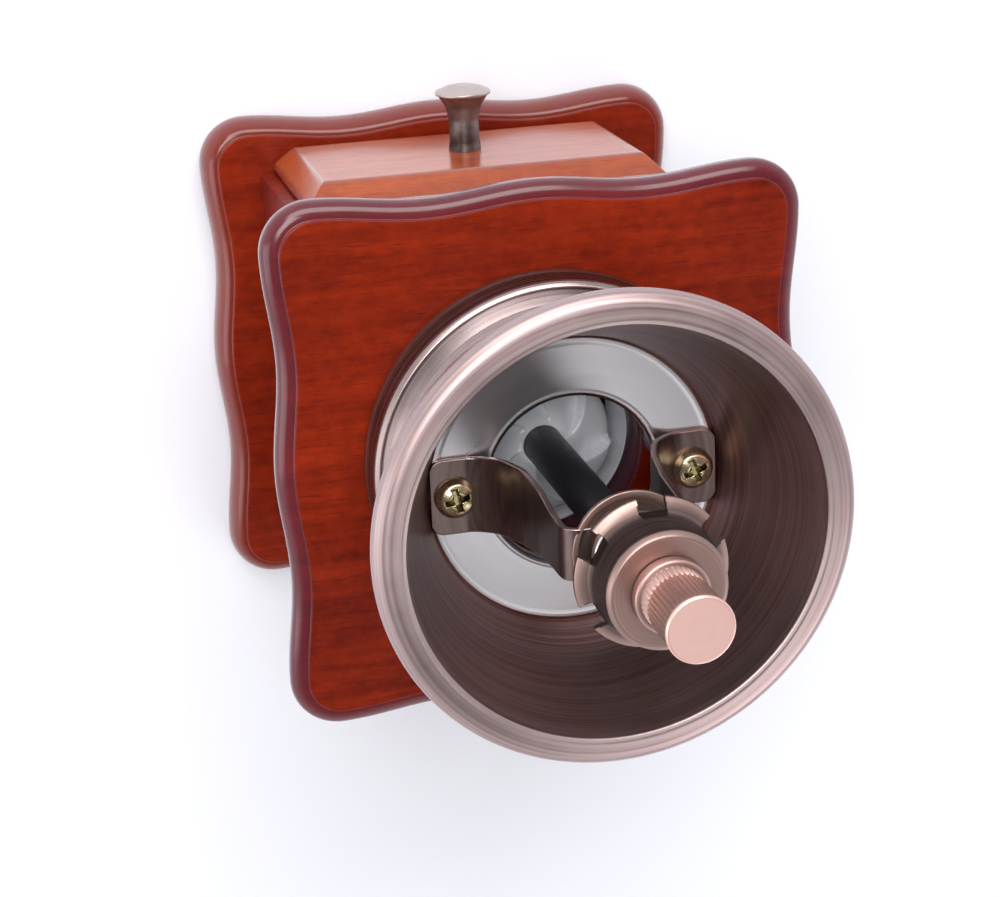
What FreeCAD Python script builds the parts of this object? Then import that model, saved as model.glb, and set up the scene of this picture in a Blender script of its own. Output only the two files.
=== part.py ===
"""Manual burr coffee grinder with a wooden drawer box and a spun copper hopper.

+Z is up. The origin is the centre of the base plate's underside, on the grinding shaft's axis.
The drawer opens towards -Y. All sizes are millimetres.
"""
import FreeCAD, Part
import Sketcher
import math
import os

V = FreeCAD.Vector
UP = V(0, 0, 1)

SIZES = {
    # wooden case
    "PlateSide": 115.0, "PlateCorner": 10.8, "PlateWave": 1.9,
    "BaseThick": 10.0, "TopThick": 9.0, "EdgeRound": 3.4, "EdgeStep": 0.5,
    "BoxWide": 88.0, "BoxDeep": 90.0, "BoxHigh": 80.0, "BoardThick": 7.0,
    "FrontPanelLow": 55.0, "BoreRadius": 20.0,
    "WoodScrewRadius": 1.75, "WoodScrewHead": 3.6, "WoodScrewLong": 28.0, "ScrewInsetDeep": 30.0,
    "ScrewSunk": 0.5,
    "DowelRadius": 3.0, "DowelLong": 17.0, "DowelRise": 5.5, "BracketHoleDeep": 7.1,
    "HoleGap": 0.05,
    # drawer
    "FrontHalfWide": 41.0, "FrontLow": 10.6, "FrontHigh": 58.4, "FrontThick": 6.2, "FrontBevel": 4.5,
    "DrawerGap": 0.4, "DrawerLow": 10.4, "DrawerHigh": 52.0, "DrawerBack": 36.0,
    "DrawerBoard": 5.0, "DrawerFloorThick": 3.0, "GrooveDeep": 2.0, "FloorLift": 2.6,
    "KnobNeck": 3.9, "KnobFoot": 4.6, "KnobHead": 6.7, "KnobLong": 15.0,
    "KnobScrewRadius": 1.95, "KnobScrewHead": 3.6, "KnobScrewLong": 16.0,
    # hopper
    "Sheet": 1.0, "CollarFoot": 39.6, "CollarHigh": 10.0, "NeckRadius": 32.0,
    "FloorTop": 20.0, "FloorRadius": 30.3, "FloorHole": 17.7, "FlangeSheet": 0.8, "FlangeHole": 21.5,
    "RimRadius": 48.1, "RimInner": 41.7, "RimHigh": 54.0, "RimDrop": 4.5,
    "PostRadius": 4.0,
    # bridge over the hopper floor
    "BridgeWide": 16.0, "BridgeSheet": 1.3, "BridgeScrewAt": 25.0, "BridgeTop": 59.8, "PlatformRadius": 11.6,
    "FootCorner": 4.0, "MachineScrew": 2.0, "PanHead": 4.25, "PanHeadHigh": 2.6,
    # spindle
    "ShaftRadius": 4.25, "RunningGap": 0.06, "ShaftLow": 56.0, "ShaftHigh": 193.0,
    "BushRadius": 6.5, "BushFlange": 7.6,
    "WasherRadius": 8.5, "WasherThick": 2.0,
    "WheelFlange": 14.8, "WheelDisc": 11.6, "WheelFlangeAt": 72.0, "WheelTop": 82.0, "WheelHub": 7.0,
    "NotchWide": 5.4, "NotchDeep": 2.8, "NotchCount": 6,
    "NutCollar": 7.2, "NutCollarHigh": 5.8, "NutBarrel": 6.2, "NutCap": 6.4, "NutTop": 99.5,
    # burrs and their carrier, under the top plate
    "BurrFoot": 17.6, "BurrWaist": 15.8, "BurrLow": 77.5, "BurrHigh": 96.0, "FluteCount": 6,
    "RingOuter": 22.0, "RingLow": 77.0, "RingHigh": 89.0, "RingFoot": 18.9, "RingWaist": 17.9,
    "RingLip": 1.6,
    "HousingWall": 1.5, "HousingFlange": 32.0, "HousingFlangeThick": 4.0,
    "BracketScrewAt": 29.2, "BracketScrewHead": 2.4, "BracketScrewHeadHigh": 2.0,
    "BracketScrewLong": 14.0, "BracketSheet": 1.5, "BracketLow": 71.0, "BracketWide": 18.0,
    "SpringMean": 5.6, "SpringWire": 0.45, "SpringTurns": 3.5, "SpringLow": 62.5, "SpringHigh": 69.5,
    "SeatRadius": 7.5, "SeatThick": 1.5, "HexRadius": 7.0, "LockNutThick": 4.0, "BurrNutThick": 3.0,
    "PinRadius": 1.2, "PinLong": 16.0, "PinAt": 78.8,
}

doc = FreeCAD.newDocument("burr_grinder")
sheet = doc.addObject("Spreadsheet::Sheet", "Sizes")
for row, (alias, number) in enumerate(SIZES.items(), start=1):
    sheet.set(f"A{row}", alias)
    sheet.set(f"B{row}", str(number))
    sheet.setAlias(f"B{row}", alias)
doc.recompute()

TOP_FACE = "Sizes.BaseThick + Sizes.BoxHigh + Sizes.TopThick"
pieces = []


def size(alias):
    """Read one driving dimension back from the sheet."""
    return float(sheet.get(alias))


def keep(piece, label, height=None):
    """Label a finished piece, lift it to its height and list it for export."""
    piece.Label = label
    if height is not None:
        piece.setExpression("Placement.Base.z", height)
    pieces.append(piece)
    return piece


def role_plane(body, role):
    """The origin plane of a body, found by its role."""
    return next(item for item in body.Origin.OriginFeatures if item.Role == role)


def closed_outline(sketch, corners):
    """Draw a closed polygon whose corners are held by pairs of expressions."""
    count = len(corners)
    for index in range(count):
        start = V(index, index * index, 0)
        sketch.addGeometry(Part.LineSegment(start, start + V(1, 1, 0)), False)
    for index in range(count):
        sketch.addConstraint(Sketcher.Constraint("Coincident", index, 2, (index + 1) % count, 1))
    for index, pair in enumerate(corners):
        for kind, expression in zip(("DistanceX", "DistanceY"), pair):
            number = sketch.addConstraint(Sketcher.Constraint(kind, -1, 1, index, 1, float(index + 1)))
            sketch.setExpression(f"Constraints[{number}]", expression)


def flat_sketch(body, role, corners, name):
    """A polygon sketch on one of the body's own origin planes."""
    sketch = body.newObject("Sketcher::SketchObject", name)
    sketch.AttachmentSupport = (role_plane(body, role), [""])
    sketch.MapMode = "FlatFace"
    closed_outline(sketch, corners)
    return sketch


def spun(label, corners, height=None, finished=True):
    """A turned or spun piece: its half section, (radius, height) pairs, revolved about Z."""
    body = doc.addObject("PartDesign::Body", label)
    sketch = flat_sketch(body, "XZ_Plane", corners, label + "_section")
    turn = body.newObject("PartDesign::Revolution", label + "_turn")
    turn.Profile = sketch
    turn.ReferenceAxis = (sketch, ["V_Axis"])
    turn.Angle = 360
    doc.recompute()
    if finished:
        return keep(body, label, height)
    if height is not None:
        body.setExpression("Placement.Base.z", height)
    return body


def board(label, extents):
    """A plain board: six expressions for its low and high sides along X, Y and Z."""
    box = doc.addObject("Part::Box", label)
    for name, low, high in zip(("Length", "Width", "Height"), extents[0::2], extents[1::2]):
        box.setExpression(name, f"({high}) - ({low})")
    for axis, low in zip("xyz", extents[0::2]):
        box.setExpression(f"Placement.Base.{axis}", low)
    return box


def rod(label, radius, length, spot, axis=UP):
    """A cylinder that starts at a spot given by three expressions and runs along an axis."""
    cylinder = doc.addObject("Part::Cylinder", label)
    cylinder.setExpression("Radius", radius)
    cylinder.setExpression("Height", length)
    cylinder.Placement.Rotation = FreeCAD.Rotation(UP, axis)
    for letter, expression in zip("xyz", spot):
        cylinder.setExpression(f"Placement.Base.{letter}", expression)
    return cylinder


def joined(label, shapes):
    """Several shapes as one fused object, or the one shape itself."""
    if len(shapes) == 1:
        return shapes[0]
    fuse = doc.addObject("Part::MultiFuse", label)
    fuse.Shapes = shapes
    return fuse


def drilled(label, blank, tools):
    """A blank with tools cut out of it."""
    cut = doc.addObject("Part::Cut", label)
    cut.Base = blank
    cut.Tool = joined(label + "_tools", tools)
    return cut


def computed(label, shape, height=0.0):
    """A piece whose shape is worked out from the sheet."""
    feature = doc.addObject("Part::Feature", label)
    feature.Shape = shape
    feature.Placement = FreeCAD.Placement(V(0, 0, height), FreeCAD.Rotation())
    return feature

# ---------------------------------------------------------------- wooden case


def wavy_outline(inset):
    """The plate's outline: four waved sides joined by round corners, moved in by an inset."""
    half = size("PlateSide") / 2 - inset
    corner = size("PlateCorner") - inset
    reach = half - corner
    edges = []
    for quarter in range(4):
        turn = FreeCAD.Rotation(UP, 90 * quarter)
        steps = 24
        points = []
        for step in range(steps + 1):
            along = step / steps
            dip = size("PlateWave") * (1 - math.cos(4 * math.pi * along)) / 2
            points.append(turn.multVec(V(reach - 2 * reach * along, half - dip, 0)))
        curve = Part.BSplineCurve()
        ends = [turn.multVec(V(-1, 0, 0))] * 2
        curve.interpolate(Points=points, InitialTangent=ends[0], FinalTangent=ends[1])
        edges.append(curve.toShape())
        centre = V(-reach, reach, 0)
        middle = centre + V(-corner, corner, 0) * math.sqrt(0.5)
        arc = [V(-reach, half, 0), middle, V(-half, reach, 0)]
        edges.append(Part.Arc(*[turn.multVec(point) for point in arc]).toShape())
    return Part.Wire(edges)


def wavy_plate(thick):
    """A plate with a small step and a quarter round along its upper edge."""
    step = size("EdgeStep")
    lower = Part.Face(wavy_outline(0.0)).extrude(V(0, 0, thick - step))
    rim = [edge for edge in lower.Edges if abs(edge.BoundBox.ZMin - (thick - step)) < 0.001]
    lower = lower.makeFillet(size("EdgeRound"), rim)
    raised = Part.Face(wavy_outline(size("EdgeRound") + step)).extrude(V(0, 0, thick))
    return lower.fuse(raised).removeSplitter()


HALF_WIDE = "Sizes.BoxWide / 2"
HALF_DEEP = "Sizes.BoxDeep / 2"
BOX_LOW = "Sizes.BaseThick"
BOX_TOP = "Sizes.BaseThick + Sizes.BoxHigh"
WALL_MIDDLE = "Sizes.BoxWide / 2 - Sizes.BoardThick / 2"


def wall_spots():
    """Signs of the four places where a side wall is fixed to a plate."""
    return [(side, end) for side in (-1, 1) for end in (-1, 1)]


def spot(side, end, height):
    return (f"{side} * ({WALL_MIDDLE})", f"{end} * Sizes.ScrewInsetDeep", height)


MACHINE_HOLE = "Sizes.MachineScrew + Sizes.HoleGap"
WOOD_HOLE = "Sizes.WoodScrewRadius + Sizes.HoleGap"
DOWEL_HOLE = "Sizes.DowelRadius + Sizes.HoleGap"
DOWEL_FOOT = f"{BOX_TOP} - Sizes.DowelLong + Sizes.DowelRise"
TOP_FACE_AT = size("BaseThick") + size("BoxHigh") + size("TopThick")
base_blank = computed("base_plate_blank", wavy_plate(size("BaseThick")))
screw_tools = []
for number, (side, end) in enumerate(wall_spots()):
    screw_tools.append(rod(f"base_hole_{number}", WOOD_HOLE, "Sizes.BaseThick", spot(side, end, "0")))
    sink = doc.addObject("Part::Cone", f"base_sink_{number}")
    sink.setExpression("Radius1", "Sizes.WoodScrewHead + 0.6")
    sink.setExpression("Radius2", WOOD_HOLE)
    sink.setExpression("Height", "Sizes.WoodScrewHead + 0.6 - Sizes.WoodScrewRadius")
    for letter, expression in zip("xyz", spot(side, end, "0")):
        sink.setExpression(f"Placement.Base.{letter}", expression)
    screw_tools.append(sink)
keep(drilled("base_plate", base_blank, screw_tools), "base_plate")

screws = []
for number, (side, end) in enumerate(wall_spots()):
    head = doc.addObject("Part::Cone", f"wood_screw_head_{number}")
    head.setExpression("Radius1", "Sizes.WoodScrewHead")
    head.setExpression("Radius2", "Sizes.WoodScrewRadius")
    head.setExpression("Height", "Sizes.WoodScrewHead - Sizes.WoodScrewRadius")
    for letter, expression in zip("xyz", spot(side, end, "Sizes.ScrewSunk")):
        head.setExpression(f"Placement.Base.{letter}", expression)
    shank = rod(f"wood_screw_shank_{number}", "Sizes.WoodScrewRadius", "Sizes.WoodScrewLong",
                spot(side, end, "Sizes.ScrewSunk"))
    screws.append(joined(f"wood_screw_{number}", [head, shank]))
group = doc.addObject("Part::Compound", "base_screws")
group.Links = screws
keep(group, "base_screws")

for label, side in (("right_wall", 1), ("left_wall", -1)):
    low = f"{HALF_WIDE} - Sizes.BoardThick" if side > 0 else f"-({HALF_WIDE})"
    high = HALF_WIDE if side > 0 else f"-({HALF_WIDE}) + Sizes.BoardThick"
    blank = board(label + "_board", (low, high, f"-({HALF_DEEP})", HALF_DEEP, BOX_LOW, BOX_TOP))
    tools = []
    for end in (-1, 1):
        tools.append(rod(f"{label}_pilot_{end + 1}", WOOD_HOLE,
                         "Sizes.WoodScrewLong", spot(side, end, "1")))
        tools.append(rod(f"{label}_dowel_hole_{end + 1}", DOWEL_HOLE, "Sizes.DowelLong",
                         spot(side, end, DOWEL_FOOT)))
    keep(drilled(label, blank, tools), label)

inner = f"{HALF_WIDE} - Sizes.BoardThick"
keep(board("back_wall", (f"-({inner})", inner, f"{HALF_DEEP} - Sizes.BoardThick", HALF_DEEP,
                         BOX_LOW, BOX_TOP)), "back_wall")
keep(board("front_panel", (f"-({inner})", inner, f"-({HALF_DEEP})", f"-({HALF_DEEP}) + Sizes.BoardThick",
                           "Sizes.FrontPanelLow", BOX_TOP)), "front_panel")

top_blank = computed("top_plate_blank", wavy_plate(size("TopThick")), size("BaseThick") + size("BoxHigh"))
top_tools = [rod("burr_bore", "Sizes.BoreRadius", "Sizes.TopThick + 2", ("0", "0", f"{BOX_TOP} - 1"))]
for number, (side, end) in enumerate(wall_spots()):
    top_tools.append(rod(f"top_dowel_hole_{number}", DOWEL_HOLE, "Sizes.DowelRise + 0.2",
                         spot(side, end, BOX_TOP)))
for number, sign in enumerate((-1, 1)):
    top_tools.append(rod(f"top_bridge_hole_{number}", MACHINE_HOLE, "Sizes.TopThick + 2",
                         (f"{sign} * Sizes.BridgeScrewAt", "0", f"{BOX_TOP} - 1")))
    top_tools.append(rod(f"top_bracket_hole_{number}", WOOD_HOLE, "Sizes.BracketHoleDeep",
                         ("0", f"{sign} * Sizes.BracketScrewAt", BOX_TOP)))
keep(drilled("top_plate", top_blank, top_tools), "top_plate")

dowels = [rod(f"dowel_{number}", "Sizes.DowelRadius", "Sizes.DowelLong", spot(side, end, DOWEL_FOOT))
          for number, (side, end) in enumerate(wall_spots())]
group = doc.addObject("Part::Compound", "top_dowels")
group.Links = dowels
keep(group, "top_dowels")

# --------------------------------------------------------------------- drawer

FRONT_BACK = f"-({HALF_DEEP}) - 0.3"
FRONT_MIDDLE = "(Sizes.FrontLow + Sizes.FrontHigh) / 2"
DRAWER_HALF = f"{inner} - Sizes.DrawerGap"
TRAY_HALF = f"{DRAWER_HALF} - Sizes.DrawerBoard"
TRAY_FLOOR = "Sizes.DrawerLow + Sizes.FloorLift"
TRAY_FLOOR_TOP = f"{TRAY_FLOOR} + Sizes.DrawerFloorThick"

front_blank = board("drawer_front_board", ("-Sizes.FrontHalfWide", "Sizes.FrontHalfWide",
                                           f"{FRONT_BACK} - Sizes.FrontThick", FRONT_BACK,
                                           "Sizes.FrontLow", "Sizes.FrontHigh"))
doc.recompute()
raised = doc.addObject("Part::Chamfer", "drawer_front_bevel")
raised.Base = front_blank
face_y = front_blank.Placement.Base.y
bevel = size("FrontBevel")
raised.Edges = [(number, bevel, bevel) for number, edge in enumerate(front_blank.Shape.Edges, start=1)
                if abs(edge.BoundBox.YMax - face_y) < 0.001]
keep(drilled("drawer_front", raised, [rod("front_screw_hole", "Sizes.KnobScrewRadius + Sizes.HoleGap",
                                          "Sizes.FrontThick + 2", ("0", f"{FRONT_BACK} + 1", FRONT_MIDDLE),
                                          V(0, -1, 0))]), "drawer_front")

for label, side in (("drawer_right_side", 1), ("drawer_left_side", -1)):
    low = TRAY_HALF if side > 0 else f"-({DRAWER_HALF})"
    high = DRAWER_HALF if side > 0 else f"-({TRAY_HALF})"
    blank = board(label + "_board", (low, high, FRONT_BACK, "Sizes.DrawerBack", "Sizes.DrawerLow",
                                     "Sizes.DrawerHigh"))
    groove = board(label + "_groove", (f"-({TRAY_HALF}) - Sizes.GrooveDeep",
                                       f"{TRAY_HALF} + Sizes.GrooveDeep", f"{FRONT_BACK} - 1",
                                       "Sizes.DrawerBack + 1", TRAY_FLOOR, TRAY_FLOOR_TOP))
    keep(drilled(label, blank, [groove]), label)

keep(board("drawer_back", (f"-({TRAY_HALF})", TRAY_HALF, "Sizes.DrawerBack - Sizes.DrawerBoard",
                           "Sizes.DrawerBack", TRAY_FLOOR_TOP, "Sizes.DrawerHigh")), "drawer_back")
keep(board("drawer_bottom", (f"-({TRAY_HALF}) - Sizes.GrooveDeep", f"{TRAY_HALF} + Sizes.GrooveDeep",
                             FRONT_BACK, "Sizes.DrawerBack", TRAY_FLOOR, TRAY_FLOOR_TOP)), "drawer_bottom")

knob_bore = "Sizes.KnobScrewRadius + Sizes.HoleGap"
knob = spun("drawer_knob", [
    (knob_bore, "0"), ("Sizes.KnobFoot", "0"), ("Sizes.KnobFoot", "1"), ("Sizes.KnobNeck", "2"),
    ("Sizes.KnobNeck", "6.5"), ("Sizes.KnobNeck + 0.6", "10"), ("Sizes.KnobHead - 0.7", "12.4"),
    ("Sizes.KnobHead", "13"), ("Sizes.KnobHead", "13.6"), ("Sizes.KnobHead - 1.6", "14.6"),
    ("Sizes.KnobHead / 3", "Sizes.KnobLong"), ("0", "Sizes.KnobLong"), ("0", "9"), (knob_bore, "9")])
knob.Placement.Rotation = FreeCAD.Rotation(V(1, 0, 0), 90)
knob.setExpression("Placement.Base.y", f"{FRONT_BACK} - Sizes.FrontThick")
knob.setExpression("Placement.Base.z", FRONT_MIDDLE)

knob_screw = spun("knob_screw", [
    ("0", "-2.2"), ("Sizes.KnobScrewHead - 0.8", "-2.2"), ("Sizes.KnobScrewHead", "-1.2"),
    ("Sizes.KnobScrewHead", "0"), ("Sizes.KnobScrewRadius", "0"),
    ("Sizes.KnobScrewRadius", "Sizes.KnobScrewLong - 2"), ("0", "Sizes.KnobScrewLong - 2")])
knob_screw.Placement.Rotation = FreeCAD.Rotation(V(1, 0, 0), 90)
knob_screw.setExpression("Placement.Base.y", FRONT_BACK)
knob_screw.setExpression("Placement.Base.z", FRONT_MIDDLE)

# --------------------------------------------------------------------- hopper

FLANGE_LOW = "Sizes.FloorTop - 3 * Sizes.FlangeSheet"
COLLAR_TOP = f"{FLANGE_LOW} + Sizes.FlangeSheet"


def flange_tools(label, low, thick):
    """Two screw holes through a flange on the bridge screws' line."""
    return [rod(f"{label}_screw_hole_{sign + 1}", MACHINE_HOLE, thick,
                (f"{sign} * Sizes.BridgeScrewAt", "0", f"{TOP_FACE} + {low}")) for sign in (-1, 1)]


def clamped_sheet(label, corners):
    """A spun sheet with the two screw holes through its flange."""
    blank = spun(label + "_blank", corners, TOP_FACE, finished=False)
    keep(drilled(label, blank, flange_tools(label, f"{FLANGE_LOW} - 1", "6")), label)


clamped_sheet("hopper_collar", [
    ("Sizes.CollarFoot - Sizes.Sheet", "0"), ("Sizes.CollarFoot", "0"),
    ("Sizes.CollarFoot", "Sizes.CollarHigh"),
    ("Sizes.CollarFoot - 2", "Sizes.CollarHigh + 1"), ("Sizes.NeckRadius", COLLAR_TOP),
    ("Sizes.FlangeHole", COLLAR_TOP), ("Sizes.FlangeHole", FLANGE_LOW),
    ("Sizes.NeckRadius - Sizes.Sheet", FLANGE_LOW), ("Sizes.CollarFoot - 2.4", "Sizes.CollarHigh"),
    ("Sizes.CollarFoot - Sizes.Sheet", "Sizes.CollarHigh - 0.6")])
BOWL_LOW = COLLAR_TOP
clamped_sheet("hopper_bowl", [
    ("Sizes.FlangeHole", BOWL_LOW), ("Sizes.FloorRadius + Sizes.Sheet", BOWL_LOW),
    ("Sizes.FloorRadius + Sizes.Sheet + 0.9", "Sizes.FloorTop + 2"),
    ("Sizes.RimInner - 3.2", "Sizes.RimHigh - 14"), ("Sizes.RimInner + 0.6", "Sizes.RimHigh - Sizes.RimDrop"),
    ("Sizes.RimRadius - 1", "Sizes.RimHigh - Sizes.RimDrop - 0.6"),
    ("Sizes.RimRadius", "Sizes.RimHigh - Sizes.RimDrop + 0.6"), ("Sizes.RimRadius", "Sizes.RimHigh - 2"),
    ("Sizes.RimRadius - 1.2", "Sizes.RimHigh - 1.1"), ("Sizes.RimInner + 1.6", "Sizes.RimHigh"),
    ("Sizes.RimInner", "Sizes.RimHigh"), ("Sizes.RimInner - 4.3", "Sizes.RimHigh - 14"),
    ("Sizes.FloorRadius + 0.9", "Sizes.FloorTop + 2"), ("Sizes.FloorRadius", "Sizes.FloorTop"),
    ("Sizes.FloorRadius", f"{BOWL_LOW} + Sizes.FlangeSheet"),
    ("Sizes.FlangeHole", f"{BOWL_LOW} + Sizes.FlangeSheet")])
FLOOR_LOW = "Sizes.FloorTop - Sizes.FlangeSheet"


clamped_sheet("hopper_floor", [
    ("Sizes.FloorHole", f"{FLOOR_LOW} - 2"), ("Sizes.FloorHole + Sizes.FlangeSheet", f"{FLOOR_LOW} - 2"),
    ("Sizes.FloorHole + Sizes.FlangeSheet", FLOOR_LOW), ("Sizes.FloorRadius - 0.2", FLOOR_LOW),
    ("Sizes.FloorRadius - 0.2", "Sizes.FloorTop"), ("Sizes.FloorHole", "Sizes.FloorTop")])

posts = []
for sign in (-1, 1):
    place = (f"{sign} * Sizes.BridgeScrewAt", "0", TOP_FACE)
    post = rod(f"post_{sign + 1}", "Sizes.PostRadius", FLANGE_LOW, place)
    bore = rod(f"post_bore_{sign + 1}", MACHINE_HOLE, FLANGE_LOW, place)
    posts.append(drilled(f"spacer_post_{sign + 1}", post, [bore]))
group = doc.addObject("Part::Compound", "spacer_posts")
group.Links = posts
keep(group, "spacer_posts")

# --------------------------------------------------------------------- bridge


def ribbon(points, thick, wide):
    """A bent strap of even thickness along a path in the XZ plane, centred on Y."""
    left, right = [], []
    for index, point in enumerate(points):
        before = points[max(index - 1, 0)]
        after = points[min(index + 1, len(points) - 1)]
        into = (point - before) if index else (after - point)
        out = (after - point) if index < len(points) - 1 else (point - before)
        sides = [V(-step.z, 0, step.x).normalize() for step in (into, out)]
        mitre = (sides[0] + sides[1]).normalize()
        shift = mitre * (thick / 2 / mitre.dot(sides[0]))
        left.append(point + shift - V(0, wide / 2, 0))
        right.append(point - shift - V(0, wide / 2, 0))
    outline = Part.makePolygon(left + right[::-1] + left[:1])
    return Part.Face(outline).extrude(V(0, wide, 0))


def bridge_shape():
    """Two feet, two S-curved legs and a round platform, bent from one strap."""
    sheet_thick = size("BridgeSheet")
    base = size("FloorTop") + sheet_thick / 2
    top = size("BridgeTop") - sheet_thick / 2
    leg = [(30.0, base), (20.5, base), (16.6, base + 3.4), (13.4, base + 10), (12.0, base + 17),
           (12.6, base + 27), (12.6, top - 3), (10.6, top)]
    path = [V(-x, 0, z) for x, z in leg] + [V(x, 0, z) for x, z in reversed(leg)]
    strap = ribbon(path, sheet_thick, size("BridgeWide"))
    reach = leg[0][0]
    corners = [edge for edge in strap.Edges
               if edge.Length < 1.01 * sheet_thick and abs(abs(edge.CenterOfMass.x) - reach) < 0.01
               and abs(edge.BoundBox.YLength) < 0.01]
    strap = strap.makeFillet(size("FootCorner"), corners)
    platform = Part.makeCylinder(size("PlatformRadius"), sheet_thick, V(0, 0, top - sheet_thick / 2))
    bridge = strap.fuse(platform)
    holes = [Part.makeCylinder(size("BushRadius"), 10, V(0, 0, top - 5))]
    for sign in (-1, 1):
        holes.append(Part.makeCylinder(size("MachineScrew") + size("HoleGap"), 10,
                                       V(sign * size("BridgeScrewAt"), 0, base - 5)))
    return bridge.cut(Part.makeCompound(holes)).removeSplitter()


keep(computed("bridge", bridge_shape(), TOP_FACE_AT), "bridge")


def cross_recess(radius, deep, at):
    """A cross-shaped driver recess in a screw head."""
    arm = Part.makeBox(2 * radius, radius * 0.4, deep, at - V(radius, radius * 0.2, deep))
    other = Part.makeBox(radius * 0.4, 2 * radius, deep, at - V(radius * 0.2, radius, deep))
    return arm.fuse(other)


def bridge_screw(sign):
    """A pan-head machine screw through the bridge foot down into the burr housing."""
    seat = size("FloorTop") + size("BridgeSheet")
    low = -size("TopThick") - size("HousingFlangeThick")
    centre = V(sign * size("BridgeScrewAt"), 0, seat)
    head = Part.makeCylinder(size("PanHead"), size("PanHeadHigh"), centre)
    rim = [edge for edge in head.Edges if edge.CenterOfMass.z > seat + 2]
    head = head.makeFillet(size("PanHeadHigh") * 0.6, rim)
    head = head.cut(cross_recess(size("PanHead") * 0.6, 1.4, centre + V(0, 0, size("PanHeadHigh"))))
    shank = Part.makeCylinder(size("MachineScrew"), seat - low, V(centre.x, 0, low))
    return head.fuse(shank).removeSplitter()


keep(computed("bridge_screws", Part.makeCompound([bridge_screw(sign) for sign in (-1, 1)]),
              TOP_FACE_AT), "bridge_screws")

# -------------------------------------------------------------------- spindle

SHAFT_BORE = "Sizes.ShaftRadius + Sizes.RunningGap"
BUSH_TOP = "Sizes.BridgeTop + 1.6"
WASHER_LOW = f"{BUSH_TOP} + 0.1"
WHEEL_LOW = f"{WASHER_LOW} + Sizes.WasherThick + 0.1"
spun("bridge_bush", [
    (SHAFT_BORE, "Sizes.BridgeTop - 5"), ("Sizes.BushRadius", "Sizes.BridgeTop - 5"),
    ("Sizes.BushRadius", "Sizes.BridgeTop"), ("Sizes.BushFlange", "Sizes.BridgeTop"),
    ("Sizes.BushFlange", BUSH_TOP), (SHAFT_BORE, BUSH_TOP)], TOP_FACE)
spun("thrust_washer", [
    (SHAFT_BORE, WASHER_LOW), ("Sizes.WasherRadius", WASHER_LOW),
    ("Sizes.WasherRadius", f"{WASHER_LOW} + Sizes.WasherThick"),
    (SHAFT_BORE, f"{WASHER_LOW} + Sizes.WasherThick")], TOP_FACE)

wheel = spun("wheel_blank", [
    (SHAFT_BORE, WHEEL_LOW), ("Sizes.WheelHub", WHEEL_LOW), ("Sizes.WheelHub", "Sizes.WheelTop - 1.2"),
    ("Sizes.WheelDisc - 1.4", "Sizes.WheelTop - 1.2"), ("Sizes.WheelDisc - 1.1", "Sizes.WheelTop - 5"),
    ("Sizes.WheelDisc - 0.6", "Sizes.WheelFlangeAt + 1.5"),
    ("Sizes.WheelFlange - 2", "Sizes.WheelFlangeAt - 0.2"),
    ("Sizes.WheelFlange", "Sizes.WheelFlangeAt - 1.2"), ("Sizes.WheelFlange", "Sizes.WheelFlangeAt"),
    ("Sizes.WheelFlange - 2", "Sizes.WheelFlangeAt + 1.4"), ("Sizes.WheelDisc", "Sizes.WheelFlangeAt + 3.5"),
    ("Sizes.WheelDisc", "Sizes.WheelTop - 1"), ("Sizes.WheelDisc - 1", "Sizes.WheelTop"),
    (SHAFT_BORE, "Sizes.WheelTop")], TOP_FACE, finished=False)
notches = []
for index in range(int(size("NotchCount"))):
    notch = board(f"wheel_notch_{index}", ("Sizes.WheelFlange - Sizes.NotchDeep", "Sizes.WheelFlange + 1",
                                           "-Sizes.NotchWide / 2", "Sizes.NotchWide / 2",
                                           f"{TOP_FACE} + Sizes.WheelFlangeAt - 2",
                                           f"{TOP_FACE} + Sizes.WheelFlangeAt + 3.2"))
    turned = doc.addObject("Part::Feature", f"wheel_notch_turned_{index}")
    doc.recompute()
    turned.Shape = notch.Shape.rotated(V(), UP, 360 / size("NotchCount") * (index + 0.5))
    notches.append(turned)
keep(drilled("adjusting_wheel", wheel, notches), "adjusting_wheel")

COLLAR_LOW = "Sizes.WheelTop + 0.3"
COLLAR_HIGH = "Sizes.WheelTop + Sizes.NutCollarHigh"
spun("nut_collar", [
    (SHAFT_BORE, COLLAR_LOW), ("Sizes.NutCollar", COLLAR_LOW), ("Sizes.NutCollar", f"{COLLAR_HIGH} - 0.6"),
    ("Sizes.NutCollar - 0.6", COLLAR_HIGH), (SHAFT_BORE, COLLAR_HIGH)], TOP_FACE)
SHAFT_TOP = f"Sizes.ShaftHigh - ({TOP_FACE})"
spun("cap_nut", [
    (SHAFT_BORE, f"{COLLAR_HIGH} + 0.1"), ("Sizes.NutBarrel", f"{COLLAR_HIGH} + 0.1"),
    ("Sizes.NutBarrel", "Sizes.NutTop - 4.5"), ("Sizes.NutCap", "Sizes.NutTop - 4"),
    ("Sizes.NutCap", "Sizes.NutTop - 1.2"), ("Sizes.NutCap - 1.2", "Sizes.NutTop"), ("0", "Sizes.NutTop"),
    ("0", f"{SHAFT_TOP} + 0.5"), (SHAFT_BORE, f"{SHAFT_TOP} + 0.5")], TOP_FACE)

pin_hole = rod("shaft_pin_hole", "Sizes.PinRadius + Sizes.HoleGap", "Sizes.PinLong",
               ("-Sizes.PinLong / 2", "0", "Sizes.PinAt"), V(1, 0, 0))
shaft_rod = rod("shaft_rod", "Sizes.ShaftRadius", "Sizes.ShaftHigh - Sizes.ShaftLow",
                ("0", "0", "Sizes.ShaftLow"))
keep(drilled("shaft", shaft_rod, [pin_hole]), "shaft")
keep(rod("drive_pin", "Sizes.PinRadius", "Sizes.PinLong", ("-Sizes.PinLong / 2", "0", "Sizes.PinAt"),
         V(1, 0, 0)), "drive_pin")

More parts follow.
